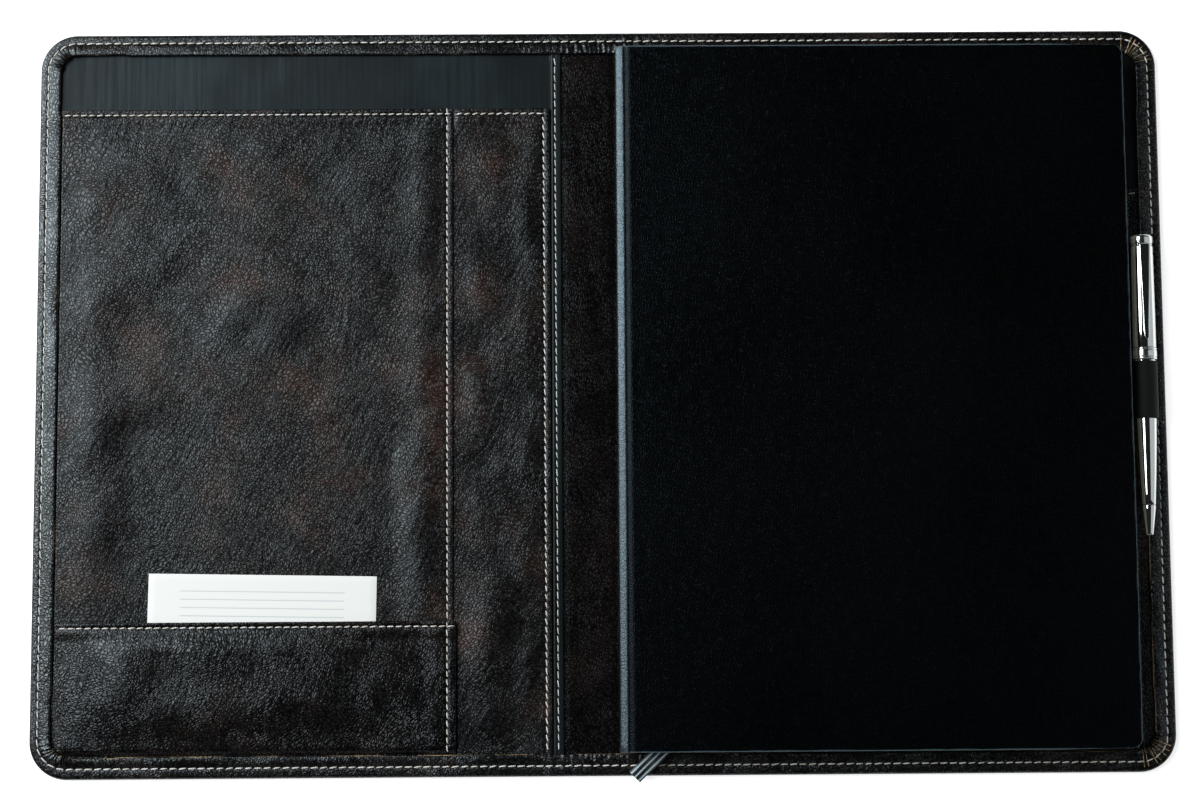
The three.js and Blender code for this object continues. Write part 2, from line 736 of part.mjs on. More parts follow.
// Clip: a washer held under the crown, and a tapering arm that springs down on to the barrel
function addClip() {
  const washer = turned([
    [0, clipRingAt + clipRing],
    [crownRadius, clipRingAt + clipRing],
    [crownRadius, clipRingAt],
    [0, clipRingAt],
  ]);
  const clipEnd = clipRingAt + clipLength;
  const surface = penZ + barrelRadius;
  const lift = surface + clipStandOff;
  const stations = [
    [clipRingAt + clipRing / 40, penZ + crownRadius * 0.6, clipRootWidth, clipThickness * 3],
    [clipRingAt + clipRing, lift - clipThickness, clipRootWidth, clipThickness * 2],
    [clipRingAt + clipRing * 3, lift, clipRootWidth, clipThickness],
    [(clipRingAt + clipEnd) / 2, lift - clipStandOff * 0.2, (clipRootWidth + clipTipWidth) / 2, clipThickness],
    [clipEnd - 2 * clipTipLength, surface + clearance, clipTipWidth * 1.1, clipThickness],
    [clipEnd - clipTipLength, surface + glue, clipTipWidth, clipThickness * 1.2],
    [clipEnd, surface + clipStandOff * 0.6, clipTipWidth * 0.7, clipThickness * 0.6],
  ];
  const rings = stations.map(([along, low, width, thick]) => {
    const y = penTop - along;
    const half = width / 2;
    const shoulder = low + thick * 0.6;
    return [
      [penX + half, y, low],
      [penX + half, y, shoulder],
      [penX + half * 0.55, y, low + thick],
      [penX - half * 0.55, y, low + thick],
      [penX - half, y, shoulder],
      [penX - half, y, low],
    ];
  });
  addPiece('pen_clip', joined(washer, loft(rings)), chrome);
}

// Upper barrel, open at its lower end for the mechanism
function addUpperBarrel() {
  addPiece('pen_upper_barrel', turned([
    [0, barrelAt + penWall],
    [penBore, barrelAt + penWall],
    [penBore, centreRingAt - glue],
    [barrelRadius, centreRingAt - glue],
    [barrelRadius, barrelAt + upperBarrelLength * 0.75],
    [barrelTopRadius, barrelAt + upperBarrelLength * 0.2],
    [barrelTopRadius - clearance, barrelAt],
    [0, barrelAt],
  ]), chrome);
}

// Centre ring: a band with a raised middle between two fine grooves
function addCentreRing() {
  const low = centreRingAt + centreRingLength;
  const groove = ringGroove;
  const edge = centreRingLength / 6;
  addPiece('pen_centre_ring', turned([
    [penBore, centreRingAt],
    [penBore, low],
    [centreRingRadius - groove, low],
    [centreRingRadius, low - edge / 2],
    [centreRingRadius, low - edge],
    [centreRingRadius - groove, low - edge * 1.3],
    [centreRingRadius, low - edge * 1.6],
    [centreRingRadius, centreRingAt + edge * 1.6],
    [centreRingRadius - groove, centreRingAt + edge * 1.3],
    [centreRingRadius, centreRingAt + edge],
    [centreRingRadius, centreRingAt + edge / 2],
    [centreRingRadius - groove, centreRingAt],
    [penBore, centreRingAt],
  ]), chrome);
}

const mechanismTop = barrelAt + mechanismDrop;
const mechanismLow = lowerAt + mechanismReach;
const refillTop = mechanismTop + mechanismHead + refillGap;
const refillBore = refillRadius + 2 * clearance;

// Twist mechanism: a brass tube that reaches from the upper barrel into the lower one
function addMechanism() {
  const outer = penBore - clearance;
  addPiece('pen_mechanism', turned([
    [0, mechanismTop + mechanismHead],
    [refillBore, mechanismTop + mechanismHead],
    [refillBore, mechanismLow],
    [outer, mechanismLow],
    [outer, mechanismTop],
    [0, mechanismTop],
  ]), brass);
}

// Lower barrel, tapering from the loop to the cone, with a bore for the mechanism and a finer one for the refill
function addLowerBarrel() {
  const loopExit = loopAt + loopHeight;
  addPiece('pen_lower_barrel', turned([
    [penBore, lowerAt],
    [penBore, mechanismLow + penWall],
    [refillBore, mechanismLow + 2 * penWall],
    [refillBore, coneAt],
    [coneRadius, coneAt],
    [loopExitRadius * 0.55 + coneRadius * 0.45, (loopExit + coneAt) / 2],
    [loopExitRadius, loopExit],
    [lowerBarrelRadius, lowerAt + loopHeight / 3],
    [lowerBarrelRadius, lowerAt],
    [penBore, lowerAt],
  ]), chrome);
}

// Cone at the tip, with a rounded mouth that the refill's point comes through
function addTipCone() {
  const mouth = pointRadius + clearance;
  const start = coneAt + glue;
  addPiece('pen_tip_cone', turned([
    [refillBore, start],
    [refillBore, start + coneLength * 0.35],
    [mouth, start + coneLength * 0.5],
    [mouth, penLength],
    [mouthRadius * 0.92, penLength],
    [mouthRadius, penLength - coneLength * 0.03],
    [mouthRadius * 1.14, penLength - coneLength * 0.22],
    [coneRadius * 0.84, start + coneLength * 0.37],
    [coneRadius, start + coneLength * 0.04],
    [coneRadius - glue, start],
    [refillBore, start],
  ]), chrome);
}

// Refill: an ink tube and its brass point, drawn back inside the mouth
function addRefill() {
  const shoulder = coneAt - refillShoulder;
  const tip = penLength - pointRetract;
  const neck = coneAt + coneLength * 0.2;
  addPiece('refill_tube', turned([
    [0, shoulder],
    [refillRadius, shoulder],
    [refillRadius, refillTop],
    [0, refillTop],
  ]), refillPlastic);
  addPiece('refill_point', turned([
    [0, tip],
    [ballRadius, tip],
    [pointRadius * 0.6, tip - coneLength * 0.18],
    [pointRadius, tip - coneLength * 0.23],
    [pointRadius, neck],
    [refillRadius, coneAt],
    [refillRadius, shoulder + glue],
    [0, shoulder + glue],
  ]), brass);
}

addOuterLeather();
addBoards();
addSpineLining();
addLinings();
addSidePocket();
addDocumentPocket();
addCardPocket();
addCard();
addSleeve();
addPenLoop();
addNotebookCase();
addPages();
addHeadbands();
addMarkerRibbon();
addCrown();
addClip();
addUpperBarrel();
addCentreRing();
addMechanism();
addLowerBarrel();
addTipCone();
addRefill();

export default part;
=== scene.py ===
import functools
import math

import bmesh
import bpy
import numpy as np
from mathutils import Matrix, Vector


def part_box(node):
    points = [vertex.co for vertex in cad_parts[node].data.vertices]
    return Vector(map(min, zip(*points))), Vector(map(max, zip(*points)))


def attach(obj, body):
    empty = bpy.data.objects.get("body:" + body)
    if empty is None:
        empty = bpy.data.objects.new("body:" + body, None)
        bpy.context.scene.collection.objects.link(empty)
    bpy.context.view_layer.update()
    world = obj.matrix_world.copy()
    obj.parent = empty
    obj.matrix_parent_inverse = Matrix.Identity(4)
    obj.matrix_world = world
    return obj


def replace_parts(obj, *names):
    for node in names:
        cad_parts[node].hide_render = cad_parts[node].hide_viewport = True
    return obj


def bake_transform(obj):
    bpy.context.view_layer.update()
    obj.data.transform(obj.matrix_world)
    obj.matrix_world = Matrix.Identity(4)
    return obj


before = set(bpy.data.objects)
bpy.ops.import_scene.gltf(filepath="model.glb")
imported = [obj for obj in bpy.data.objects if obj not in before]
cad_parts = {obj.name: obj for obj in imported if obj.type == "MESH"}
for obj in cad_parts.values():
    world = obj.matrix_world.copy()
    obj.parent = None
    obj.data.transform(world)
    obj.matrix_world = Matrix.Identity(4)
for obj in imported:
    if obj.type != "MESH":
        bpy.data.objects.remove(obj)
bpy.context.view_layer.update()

# Camera: a 66 mm lens about a metre above the open cover, tilted a little towards its foot.
# The places below are in millimetres in the frame of the CAD model, and meshes are made in metres.
camera = bpy.data.objects.new("camera", bpy.data.cameras.new("camera"))
camera.data.sensor_width = 36
camera.data.lens = 65.93
camera.location = (-0.0086, -0.0969, 1.0)
camera.rotation_euler = [math.radians(turn) for turn in (5.573, -0.415, -0.395)]
bpy.context.scene.collection.objects.link(camera)
bpy.context.scene.camera = camera
bpy.context.scene.view_settings.view_transform = "Standard"


# Marker ribbon: a black satin ribbon with three pale woven stripes, 6.6 mm wide, glued to the head of the
# book's back. It lies between the leaves, comes out at their tail and drops on to the rim with a cut end.
def srgb(code):
    """A colour written as sRGB hex, in linear values: v / 12.92 below 0.04045, and above that
    ((v + 0.055) / 1.055) ^ 2.4."""
    parts = [int(code[i : i + 2], 16) / 255 for i in (1, 3, 5)]
    return (*[v / 12.92 if v <= 0.04045 else ((v + 0.055) / 1.055) ** 2.4 for v in parts], 1)


def add_node(tree, kind, inputs=None, ramp=None, **settings):
    """Adds a node. inputs gives each socket a value, a colour as hex, or the node or output that feeds it,
    and ramp gives colour stops. A node stands for its first output."""
    made = tree.nodes.new("ShaderNode" + kind)
    for key, value in settings.items():
        setattr(made, key, value)
    for key, value in (inputs or {}).items():
        if isinstance(value, bpy.types.Node):
            value = value.outputs[0]
        if isinstance(value, bpy.types.NodeSocket):
            tree.links.new(value, made.inputs[key])
        else:
            made.inputs[key].default_value = srgb(value) if isinstance(value, str) else value
    if ramp:
        while len(made.color_ramp.elements) < len(ramp):
            made.color_ramp.elements.new(0.5)
        for element, (place, shade) in zip(made.color_ramp.elements, ramp):
            element.position = place
            element.color = srgb(shade) if isinstance(shade, str) else (shade, shade, shade, 1)
    return made


def new_finish(name, roughness, **sockets):
    """A material with one Principled shader, whose constant values are set on its own sockets. Also gives the
    shader and add_node for the material's own tree, which is called node in the finishes."""
    material = bpy.data.materials.new(name)
    material.use_nodes = True
    shader = material.node_tree.nodes["Principled BSDF"]
    shader.inputs["Roughness"].default_value = roughness
    for key, value in sockets.items():
        shader.inputs[key.replace("_", " ")].default_value = srgb(value) if isinstance(value, str) else value
    return material, shader, functools.partial(add_node, material.node_tree)


def feed(fed, **sources):
    """Links the first output of each node given to the fed node's socket of that name."""
    for key, source in sources.items():
        fed.id_data.links.new(source.outputs[0], fed.inputs[key.replace("_", " ")])


def run_along(line):
    """The length run from the start of a line to each of its points."""
    return np.concatenate([[0], np.cumsum(np.linalg.norm(np.diff(line, axis=0), axis=1))])


def unit(vectors):
    """The same directions with a length of 1: v / |v|."""
    return vectors / np.linalg.norm(vectors, axis=-1, keepdims=True)


def together(*parts):
    """Coordinates given one by one, spread to one grid and stacked along its last axis."""
    return np.stack(np.broadcast_arrays(*parts), -1)


def even_steps(line, spacing):
    """The same line with points at even steps: linear interpolation over the length run so far."""
    run = run_along(line)
    at = np.linspace(0, run[-1], max(2, round(run[-1] / spacing) + 1))
    return np.stack([np.interp(at, run, line[:, k]) for k in range(line.shape[1])], 1)


def smooth_path(points, spacing):
    """A smooth line through points: cubic Hermite pieces whose knots are the square roots of the point
    distances (a centripetal Catmull-Rom spline), then cut to even steps."""
    points = np.asarray(points, float)
    step = np.sqrt(np.linalg.norm(np.diff(points, axis=0), axis=1))
    knots = np.concatenate([[0], np.cumsum(step)])
    slope = np.diff(points, axis=0) / step[:, None]
    tangent = np.concatenate([slope[:1], slope[1:], slope[-1:]])
    across = (points[2:] - points[:-2]) / (knots[2:] - knots[:-2])[:, None]
    tangent[1:-1] = slope[:-1] - across + slope[1:]
    at = np.linspace(0, knots[-1], 60 * len(points))
    i = np.clip(np.searchsorted(knots, at, side="right") - 1, 0, len(step) - 1)
    f = ((at - knots[i]) / step[i])[:, None]
    run = step[i][:, None]
    line = (2 * f**3 - 3 * f**2 + 1) * points[i] + (f**3 - 2 * f**2 + f) * run * tangent[i]
    line += (3 * f**2 - 2 * f**3) * points[i + 1] + (f**3 - f**2) * run * tangent[i + 1]
    return even_steps(line, spacing)


def make_piece(name, patches, material, body=None):
    """One closed mesh from grids of points. Each patch is (points, uv, worn): points in millimetres, with any
    leading axes, then rows, columns and 3. Neighbouring points become four-sided faces, points that coincide
    are merged and the faces are turned outwards. worn marks where the dye is rubbed off, from 0 to 1; on the
    notebook's boards it marks a painted highlight along the upper edge."""
    places, uvs, marks, faces, start = [], [], [], [], 0
    for points, uv, worn in patches:
        grids = points.reshape((-1, *points.shape[-3:]))
        index = start + np.arange(grids[..., 0].size).reshape(grids.shape[:3])
        quads = [index[:, :-1, :-1], index[:, 1:, :-1], index[:, 1:, 1:], index[:, :-1, 1:]]
        faces.append(np.stack(quads, -1).reshape(-1, 4))
        places.append(points.reshape(-1, 3))
        shape = points.shape[:-1]
        uvs.append(np.broadcast_to((0.0, 0.0) if uv is None else uv, (*shape, 2)).reshape(-1, 2))
        marks.append(np.broadcast_to(0.0 if worn is None else worn, shape).ravel())
        start += index.size
    mesh = bpy.data.meshes.new(name)
    mesh.from_pydata(np.concatenate(places) / 1000, [], np.concatenate(faces))
    corners = np.empty(len(mesh.loops), np.int32)
    mesh.loops.foreach_get("vertex_index", corners)
    layer = mesh.uv_layers.new(name="surface")
    layer.data.foreach_set("uv", np.concatenate(uvs)[corners].astype(np.float32).ravel())
    mark = mesh.attributes.new("worn", "FLOAT", "POINT")
    mark.data.foreach_set("value", np.concatenate(marks).astype(np.float32))
    work = bmesh.new()
    work.from_mesh(mesh)
    bmesh.ops.remove_doubles(work, verts=work.verts, dist=2e-6)
    bmesh.ops.recalc_face_normals(work, faces=work.faces)
    work.to_mesh(mesh)
    work.free()
    mesh.polygons.foreach_set("use_smooth", np.ones(len(mesh.polygons), bool))
    mesh.set_sharp_from_angle(angle=math.radians(50))
    mesh.materials.append(material)
    piece = bpy.data.objects.new(name, mesh)
    bpy.context.scene.collection.objects.link(piece)
    if body:
        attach(piece, body)
    return piece


def satin_ribbon():
    """Woven satin: warp threads along the ribbon carry the pale stripes, and fine weft ribs cross it every
    0.9 mm. Each pale stripe is painted lighter towards one edge, a painted highlight, and the ribs are
    painted darker in their valleys and lighter on their crests, a painted shade and highlight. It shines
    along the weave and is almost black between the stripes."""
    material, shader, node = new_finish("woven_satin_ribbon", 0.4)
    place = node("UVMap", uv_map="surface")
    split = node("SeparateXYZ", {"Vector": place})
    stripes = [(0, "#07090b"), (0.08, "#07090b")]
    for start, lit, end, gap in ((0.11, 0.2, 0.24, 0.43), (0.47, 0.54, 0.58, 0.77), (0.81, 0.89, 0.93, 1)):
        # Painted highlight: each pale stripe is painted lighter from its start to lit.
        stripes += [(start, "#a9c0cb"), (lit, "#bcd0da")]
        stripes += [(end, "#06080a"), (gap, "#06080a")] if gap < 1 else [(end, "#07090b")]
    colour = node("ValToRGB", {0: split.outputs[1]}, ramp=stripes)
    ribs = node("Math", {0: split.outputs[0], 1: 2 * math.pi / 0.9}, operation="MULTIPLY")
    wave = node("Math", {0: ribs}, operation="SINE")
    # Painted shade and highlight: the colour is darkened to 0.45 in the ribs' valleys and lifted to 1.2 on
    # their crests.
    shade = node("MapRange", {0: wave, 1: -1, 2: 1, 3: 0.45, 4: 1.2})
    feed(shader, Base_Color=node("MixRGB", {0: 1, 1: colour, 2: shade}, blend_type="MULTIPLY"))
    feed(shader, Normal=node("Bump", {"Height": wave, "Distance": 0.03 / 1000}))
    return material


book_left, book_right, book_bottom, book_top = 7, 238, -158.6, 159.4
leaves_top, leaves_bottom = book_top - 3, book_bottom + 3
ribbon_width, ribbon_inside, ribbon_on_rim = 6.6, 13.78, 5.65
ribbon_head = [(10.4, 0.4), (11.2, 21.4), (15, 44.4), (21.5, 68.4), (31, 92.4), (41, 116.4), (50, 141.4)]
ribbon_tail = [(57, 145.8, 0), (61.5, 120.8, 0), (63.5, 95.8, 0), (62.5, 72.8, 0), (58.5, 52.8, 0)]
ribbon_tail += [(52, 36.3, 0), (44.5, 23.8, 0), (36.6, 14.8, 0), (29.2, 7.5, 0), (23.9, 2.5, 0)]
ribbon_tail += [(20.1, -1.1, 0), (17.5, -3.6, 0.07), (15, -6.2, 0.28), (12.4, -8.9, 0.63), (9.6, -11.8, 0.9)]
ribbon_tail += [(6.6, -14.8, 1)]
ribbon_points = [(book_left + x, leaves_top - y, ribbon_inside) for x, y in ribbon_head]
ribbon_fall = ribbon_on_rim - ribbon_inside
for x, y, share in ribbon_tail:
    ribbon_points.append((book_left + x, leaves_bottom + y, ribbon_inside + ribbon_fall * share))
ribbon_line = smooth_path(ribbon_points, 1)


def flat_ribbon(line, width, thickness):
    """A strip that stays level across: at each point of the line, a flat eight-sided ring is set across its
    direction in plan. The first and last ring are pressed flat, which closes the cut ends."""
    along = np.gradient(line, axis=0)
    across = unit(np.cross((0, 0, 1), along))
    half = [(-0.96, 1), (-0.3, 1), (0.3, 1), (0.96, 1)]
    ring = np.array([(-1, 0), *half, (1, 0), *[(x, -z) for x, z in half[::-1]], (-1, 0)])
    line, across = [np.concatenate([part[:1], part, part[-1:]]) for part in (line, across)]
    closed = np.ones(len(line))
    closed[[0, -1]] = 0
    points = line[:, None] + across[:, None] * (ring[:, :1] * width / 2)
    points[..., 2] += closed[:, None] * ring[:, 1] * thickness / 2
    run = np.linspace(0, len(line), len(line))
    return [(points, together(run[:, None], ring[:, 0] * 0.5 + 0.5), None)]


ribbon_skin = flat_ribbon(ribbon_line, ribbon_width, 0.24)
ribbon = make_piece("marker_ribbon_satin", ribbon_skin, satin_ribbon(), "notebook")
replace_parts(ribbon, "marker_ribbon")


# Floor and light: a white sheet of card under the cover, a large window-like softbox at the upper left,
# whose sheen runs over the pockets, and two weak ones, at the right and beyond the foot.
def studio_floor():
    """White card, matt. The camera and mirrors see it lighter than the lamps make it, up to white."""
    material, shader, node = new_finish("white_floor_card", 0.9, Base_Color="#f4f4f4", Specular_IOR_Level=0.1)
    rays = node("LightPath")
    to_eye, to_gloss = rays.outputs["Is Camera Ray"], rays.outputs["Is Glossy Ray"]
    seen = node("Math", {0: to_eye, 1: to_gloss}, operation="MAXIMUM")
    glow = node("Emission", {"Color": (1, 1, 1, 1), "Strength": 0.75})
    clear = node("Emission", {"Color": (0, 0, 0, 1), "Strength": 0})
    chosen = node("MixShader", {0: seen, 1: clear, 2: glow})
    both = node("AddShader", {0: shader, 1: chosen})
    feed(material.node_tree.nodes["Material Output"], Surface=both)
    return material


floor_mesh = bpy.data.meshes.new("floor")
floor_mesh.from_pydata([(-6, -6, 0), (6, -6, 0), (6, 6, 0), (-6, 6, 0)], [], [(0, 1, 2, 3)])
floor_mesh.materials.append(studio_floor())
floor = bpy.data.objects.new("floor", floor_mesh)
floor.location.z = -0.0002
bpy.context.scene.collection.objects.link(floor)

world = bpy.data.worlds.new("studio")
bpy.context.scene.world = world
world.use_nodes = True
air = world.node_tree.nodes["Background"]
air.inputs["Color"].default_value = (1, 1, 1, 1)
rays = add_node(world.node_tree, "LightPath")
feed(air, Strength=add_node(world.node_tree, "MapRange", {0: rays.outputs["Is Camera Ray"], 3: 0.015, 4: 1}))

for name, place, aim, size, power in (
    ("softbox_left", (-1.3, 0.5, 1.15), (-0.1, 0.03, 0), (1.1, 1.9), 50),
    ("softbox_right", (1.9, 0.1, 1.0), (0.1, 0, 0), (1.5, 2.6), 7),
    ("softbox_foot", (0.1, -2.0, 0.9), (0, 0, 0), (1.8, 0.6), 3),
):
    lamp = bpy.data.lights.new(name, "AREA")
    lamp.color = (0.95, 0.99, 1)
    lamp.shape, lamp.size, lamp.size_y, lamp.energy = "RECTANGLE", *size, power
    holder = bpy.data.objects.new(name, lamp)
    holder.location = place
    direction = np.subtract(aim, place)
    yaw = math.atan2(direction[1], direction[0]) - math.pi / 2
    holder.rotation_euler = (math.acos(-direction[2] / np.linalg.norm(direction)), 0, yaw)
    bpy.context.scene.collection.objects.link(holder)


# Boards: three pieces of grey binder's board inside the cover, glued between leather and lining.
# They are rigid and stay the CAD solids.
def grey_board():
    """Grey board pressed from waste paper: matt, with short fibres and dark flecks half a millimetre long."""
    material, shader, node = new_finish("pressed_grey_board", 0.95)
    place = node("TexCoord").outputs["Object"]
    flecks = node("TexNoise", {"Vector": place, "Scale": 1000 / 0.6, "Detail": 3})
    feed(shader, Base_Color=node("ValToRGB", {0: flecks}, ramp=[(0.3, "#6f675c"), (0.7, "#9a9084")]))
    feed(shader, Normal=node("Bump", {"Height": flecks, "Distance": 0.05 / 1000}))
    return material


def dress(material, *nodes):
    """Gives CAD nodes that stay a finish of their own."""
    for name in nodes:
        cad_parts[name].data.materials.clear()
        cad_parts[name].data.materials.append(material)


dress(grey_board(), "front_board", "spine_stiffener", "back_board")


# Outer leather: one skin of dark brown waxed cowhide, 1 mm thick. It covers the boards, folds round their
# edges and comes back as a rim 10 mm wide, gathered in pleats at the corners. Its cut edge is left raw.
def waxed_leather(name, shift, shades, angles=(20, 80, -35), sheen=0.5, gloss=0.34):
    """Waxed full grain cowhide, milled soft. The grain is small domed cells about 1.7 by 1.1 mm, drawn out in
    tufts, each tuft its own way, with creases between them and longer folds across. The colour is painted
    lighter on the cells' domes, a painted highlight, and near black in the creases, a painted shade; broad
    patches are warm, and worn places show the tan flesh side."""
    material, shader, node = new_finish(name, gloss, Specular_Tint="#e4f0f6")
    place = node("TexCoord").outputs["Object"]
    to_millimetres = {"Vector": place, "Location": shift, "Scale": (1000, 1000, 1000)}
    millimetres = node("Mapping", to_millimetres)
    warped = millimetres
    for size, reach in ((24, 11), (3.2, 0.7)):
        swirl = node("TexNoise", {"Vector": millimetres, "Scale": 1 / size, "Detail": 1})
        bent = node("VectorMath", {0: swirl.outputs["Color"], 1: (reach, reach, reach)}, operation="MULTIPLY")
        warped = node("VectorMath", {0: warped, 1: bent}, operation="ADD")

    def drawn(angle, length, width):
        """The place turned by the angle and divided by the length and width of one feature."""
        turn = (0, 0, math.radians(angle))
        turned_place = {"Vector": warped, "Rotation": turn, "Scale": (length, width, 4)}
        return node("Mapping", turned_place, vector_type="TEXTURE")

    def cells(angle):
        """Domed cells: the distance to a cell's edge, rounded off from 0 at the crease to 1 on the dome."""
        place_in_cell = {"Vector": drawn(angle, 1.75, 1.12), "Scale": 1}
        edges = node("TexVoronoi", place_in_cell, feature="DISTANCE_TO_EDGE")
        return node("MapRange", {0: edges, 1: 0, 2: 0.3}, interpolation_type="SMOOTHSTEP")

    where = node("TexNoise", {"Vector": millimetres, "Scale": 1 / 14, "Detail": 1})
    grain = cells(angles[0])
    for angle, low in zip(angles[1:], (0.43, 0.54)):
        choice = node("MapRange", {0: where, 1: low, 2: low + 0.05})
        grain = node("MixRGB", {0: choice, 1: grain, 2: cells(angle)})
    calm = node("TexNoise", {"Vector": millimetres, "Scale": 1 / 19, "Detail": 2})
    depth = node("MapRange", {0: calm, 1: 0.38, 2: 0.6, 3: 0.5, 4: 1})
    carved = node("Math", {0: grain, 1: depth}, operation="MULTIPLY")
    folds = node("TexNoise", {"Vector": drawn(angles[0] + 40, 8, 2.4), "Scale": 1, "Detail": 1})
    pebbles = node("TexNoise", {"Vector": warped, "Scale": 1, "Detail": 1, "Roughness": 0.6})
    broad = {"Vector": millimetres, "Scale": 1 / 38, "Detail": 3, "Roughness": 0.55}
    patches = node("TexNoise", broad)
    warm = node("ValToRGB", {0: patches}, ramp=list(zip((0.3, 0.47, 0.57, 0.7), shades)))
    # Painted highlight and shade: the colour is multiplied by 1.3 on the cells' domes and by 0.35 in the
    # creases.
    dark = node("MapRange", {0: grain, 3: 0.35, 4: 1.3})
    tone_and_painted_shading = node("MixRGB", {0: 1, 1: warm, 2: dark}, blend_type="MULTIPLY")
    worn = node("Attribute", attribute_name="worn").outputs["Fac"]
    rub = node("TexNoise", {"Vector": millimetres, "Scale": 1 / 1.1, "Detail": 1})
    bare = node("Math", {0: worn, 1: rub}, operation="MULTIPLY")
    share = node("MapRange", {0: bare, 1: 0.14, 2: 0.34})
    feed(shader, Base_Color=node("MixRGB", {0: share, 1: tone_and_painted_shading, 2: "#c2a67e"}))
    feed(shader, Roughness=node("MapRange", {0: patches, 1: 0.3, 2: 0.7, 3: gloss - 0.04, 4: gloss + 0.04}))
    feed(shader, Specular_IOR_Level=node("MapRange", {0: grain, 3: sheen * 0.3, 4: sheen * 1.3}))
    folded = node("Bump", {"Height": folds, "Distance": 0.22 / 1000})
    grained = node("Bump", {"Height": carved, "Distance": 0.095 / 1000, "Normal": folded})
    feed(shader, Normal=node("Bump", {"Height": pebbles, "Distance": 0.035 / 1000, "Normal": grained}))
    return material


def smoothstep(value, low, high):
    """3t^2 - 2t^3, where t runs from 0 at low to 1 at high."""
    t = np.clip((value - low) / (high - low), 0, 1)
    return t * t * (3 - 2 * t)


def ripple(x, y, size, seed, stretch=1.0):
    """A gently uneven field: the mean of 14 sine waves of about this wavelength, with seeded directions and
    phases, near 1 in its spread. stretch makes the waves longer along y."""
    dice = np.random.default_rng(seed)
    spans = ((0, math.pi), (0, 2 * math.pi), (0.7, 1.5))
    turn, phase, scale = [dice.uniform(low, high, 14) for low, high in spans]
    waves = []
    for t, p, k in zip(turn, phase, scale):
        along = x * math.cos(t) + y * math.sin(t) / stretch
        waves.append(np.sin(along * 2 * math.pi * k / size + p))
    return sum(waves) / 2.65


def grid_lines(start, end, spacing, fine_at=(), fine=0.4, reach=1.8):
    """Grid lines at the spacing, with finer ones near the given places, none closer than 0.4 of the fine."""
    parts = [np.linspace(start, end, round(abs(end - start) / spacing) + 1)]
    parts += [np.arange(place - reach, place + reach, fine) for place in fine_at]
    low, high = min(start, end), max(start, end)
    values = np.unique(np.clip(np.concatenate(parts), low, high))
    kept = np.concatenate([[True], np.diff(values) > 0.4 * fine])
    kept[-1] = True
    values = values[kept]
    return values if start < end else values[::-1]


cover_x, cover_y, cover_corner, spine_middle, side_rows = 257.5, 170, 17, -5.5, 116
front_hinge, back_hinge, rim_width = -17.5, 6.5, 10


def cover_edge(side):
    """The outer edge of one half of the cover as points and outward directions: from the middle of the spine
    along the top, a quarter circle, down the side, a quarter circle, and back along the foot."""
    corner_x, corner_y = side * (cover_x - cover_corner), cover_y - cover_corner
    fine_at = (-14,) if side < 0 else (6,)
    run = grid_lines(spine_middle, corner_x, 3, fine_at, 0.6, 14)
    turn = np.radians(np.linspace(90, 0, 73))
    fall = np.linspace(corner_y, -corner_y, side_rows)
    arc = np.stack([side * np.cos(turn), np.sin(turn)], 1)
    points = [together(run, cover_y)[:-1], arc * cover_corner + (corner_x, corner_y)]
    points += [together(side * cover_x, fall)[1:-1]]
    facing = [together(0 * run, 1)[:-1], arc, together(side, 0 * fall)[1:-1]]
    points += [part[::-1] * (1, -1) for part in points[1::-1]]
    facing += [part[::-1] * (1, -1) for part in facing[1::-1]]
    return np.concatenate(points), np.concatenate(facing), len(run) - 1 + len(turn)


def arc_points(centre, radius, start, end, count):
    """Points (inset, height) on an arc, angles in degrees."""
    turn = np.radians(np.linspace(start, end, count))
    return [(centre[0] + radius * math.cos(a), centre[1] + radius * math.sin(a)) for a in turn]


case_field_inset, seam_inset, seam_height = 12, 3.8, 4.68
outer_profile = [(case_field_inset, 0), (7, 0)] + arc_points((2.2, 2.2), 2.2, -90, -180, 6)
outer_profile += arc_points((1.6, 3.0), 1.6, 180, 85, 6)
outer_profile += [(2.4, 4.68), (3.0, 4.7), (3.4, 4.6), (seam_inset, 4.56)]
outer_profile += [(4.2, 4.68), (4.6, 4.86), (5.2, 4.98), (6.2, 5.12)]
outer_profile += [(7.2, 5.24), (8.2, 5.33), (9.2, 5.38), (9.75, 5.3), (9.95, 5.1), (10, 4.75)]
outer_profile = np.array(outer_profile)
inner_profile = [(case_field_inset, 1), (1.4, 1), (1, 1.5), (1, 3.1), (1.6, 3.6), (7, 4.25), (10, 4.35)]
inner_profile = np.array(inner_profile)
inner_profile = even_steps(inner_profile, run_along(inner_profile)[-1] / (len(outer_profile) - 1))
# Ridges across the rim over the edges of what lies under it: top (1) or foot (-1), X and height.
rim_marks = ((1, 12.2, 0.3), (1, 18.2, 0.35), (-1, -18.1, 0.3), (-1, -23.8, 0.25), (-1, -67.2, 0.4))


def pleats(points, facing):
    """Height and wear of the gathers at a corner. Where the edge turns, nine overlapping folds rise as a
    sawtooth of the angle, and the dye cracks along the back of each tooth, most at the corners that the pen
    hand rubs."""
    turning = np.abs(facing[:, 0] * facing[:, 1]) > 1e-4
    spread = np.convolve(turning.astype(float), np.ones(17) / 17, "same")
    angle = np.degrees(np.arctan2(np.abs(facing[:, 1]), np.abs(facing[:, 0])))
    jitter = 0.2 * ripple(angle * 0.6, np.sign(points[:, 1]) * 31, 19, 5)
    phase = np.mod(angle / 10.4 + jitter, 1)
    tooth = np.where(phase < 0.75, phase / 0.75, (1 - phase) / 0.25) ** 0.8
    crease = np.exp(-(((phase - 0.92) / 0.13) ** 2)) * (0.75 + 0.25 * np.sin(angle * 1.7 + points[:, 1]))
    crease *= np.where(points[:, 0] > 0, 1, 0.35)
    return spread * tooth, np.clip(spread * crease * turning, 0, 1)


def seam_shift(facing):
    """How much further in than 3.8 mm the seam runs: 0.4 mm along the top and the right side, 1 mm along the
    foot, 0 along the left side, and in between round the corners."""
    return facing[:, 0] ** 2 * (0.2 + 0.2 * facing[:, 0]) + facing[:, 1] ** 2 * (0.7 - 0.3 * facing[:, 1])


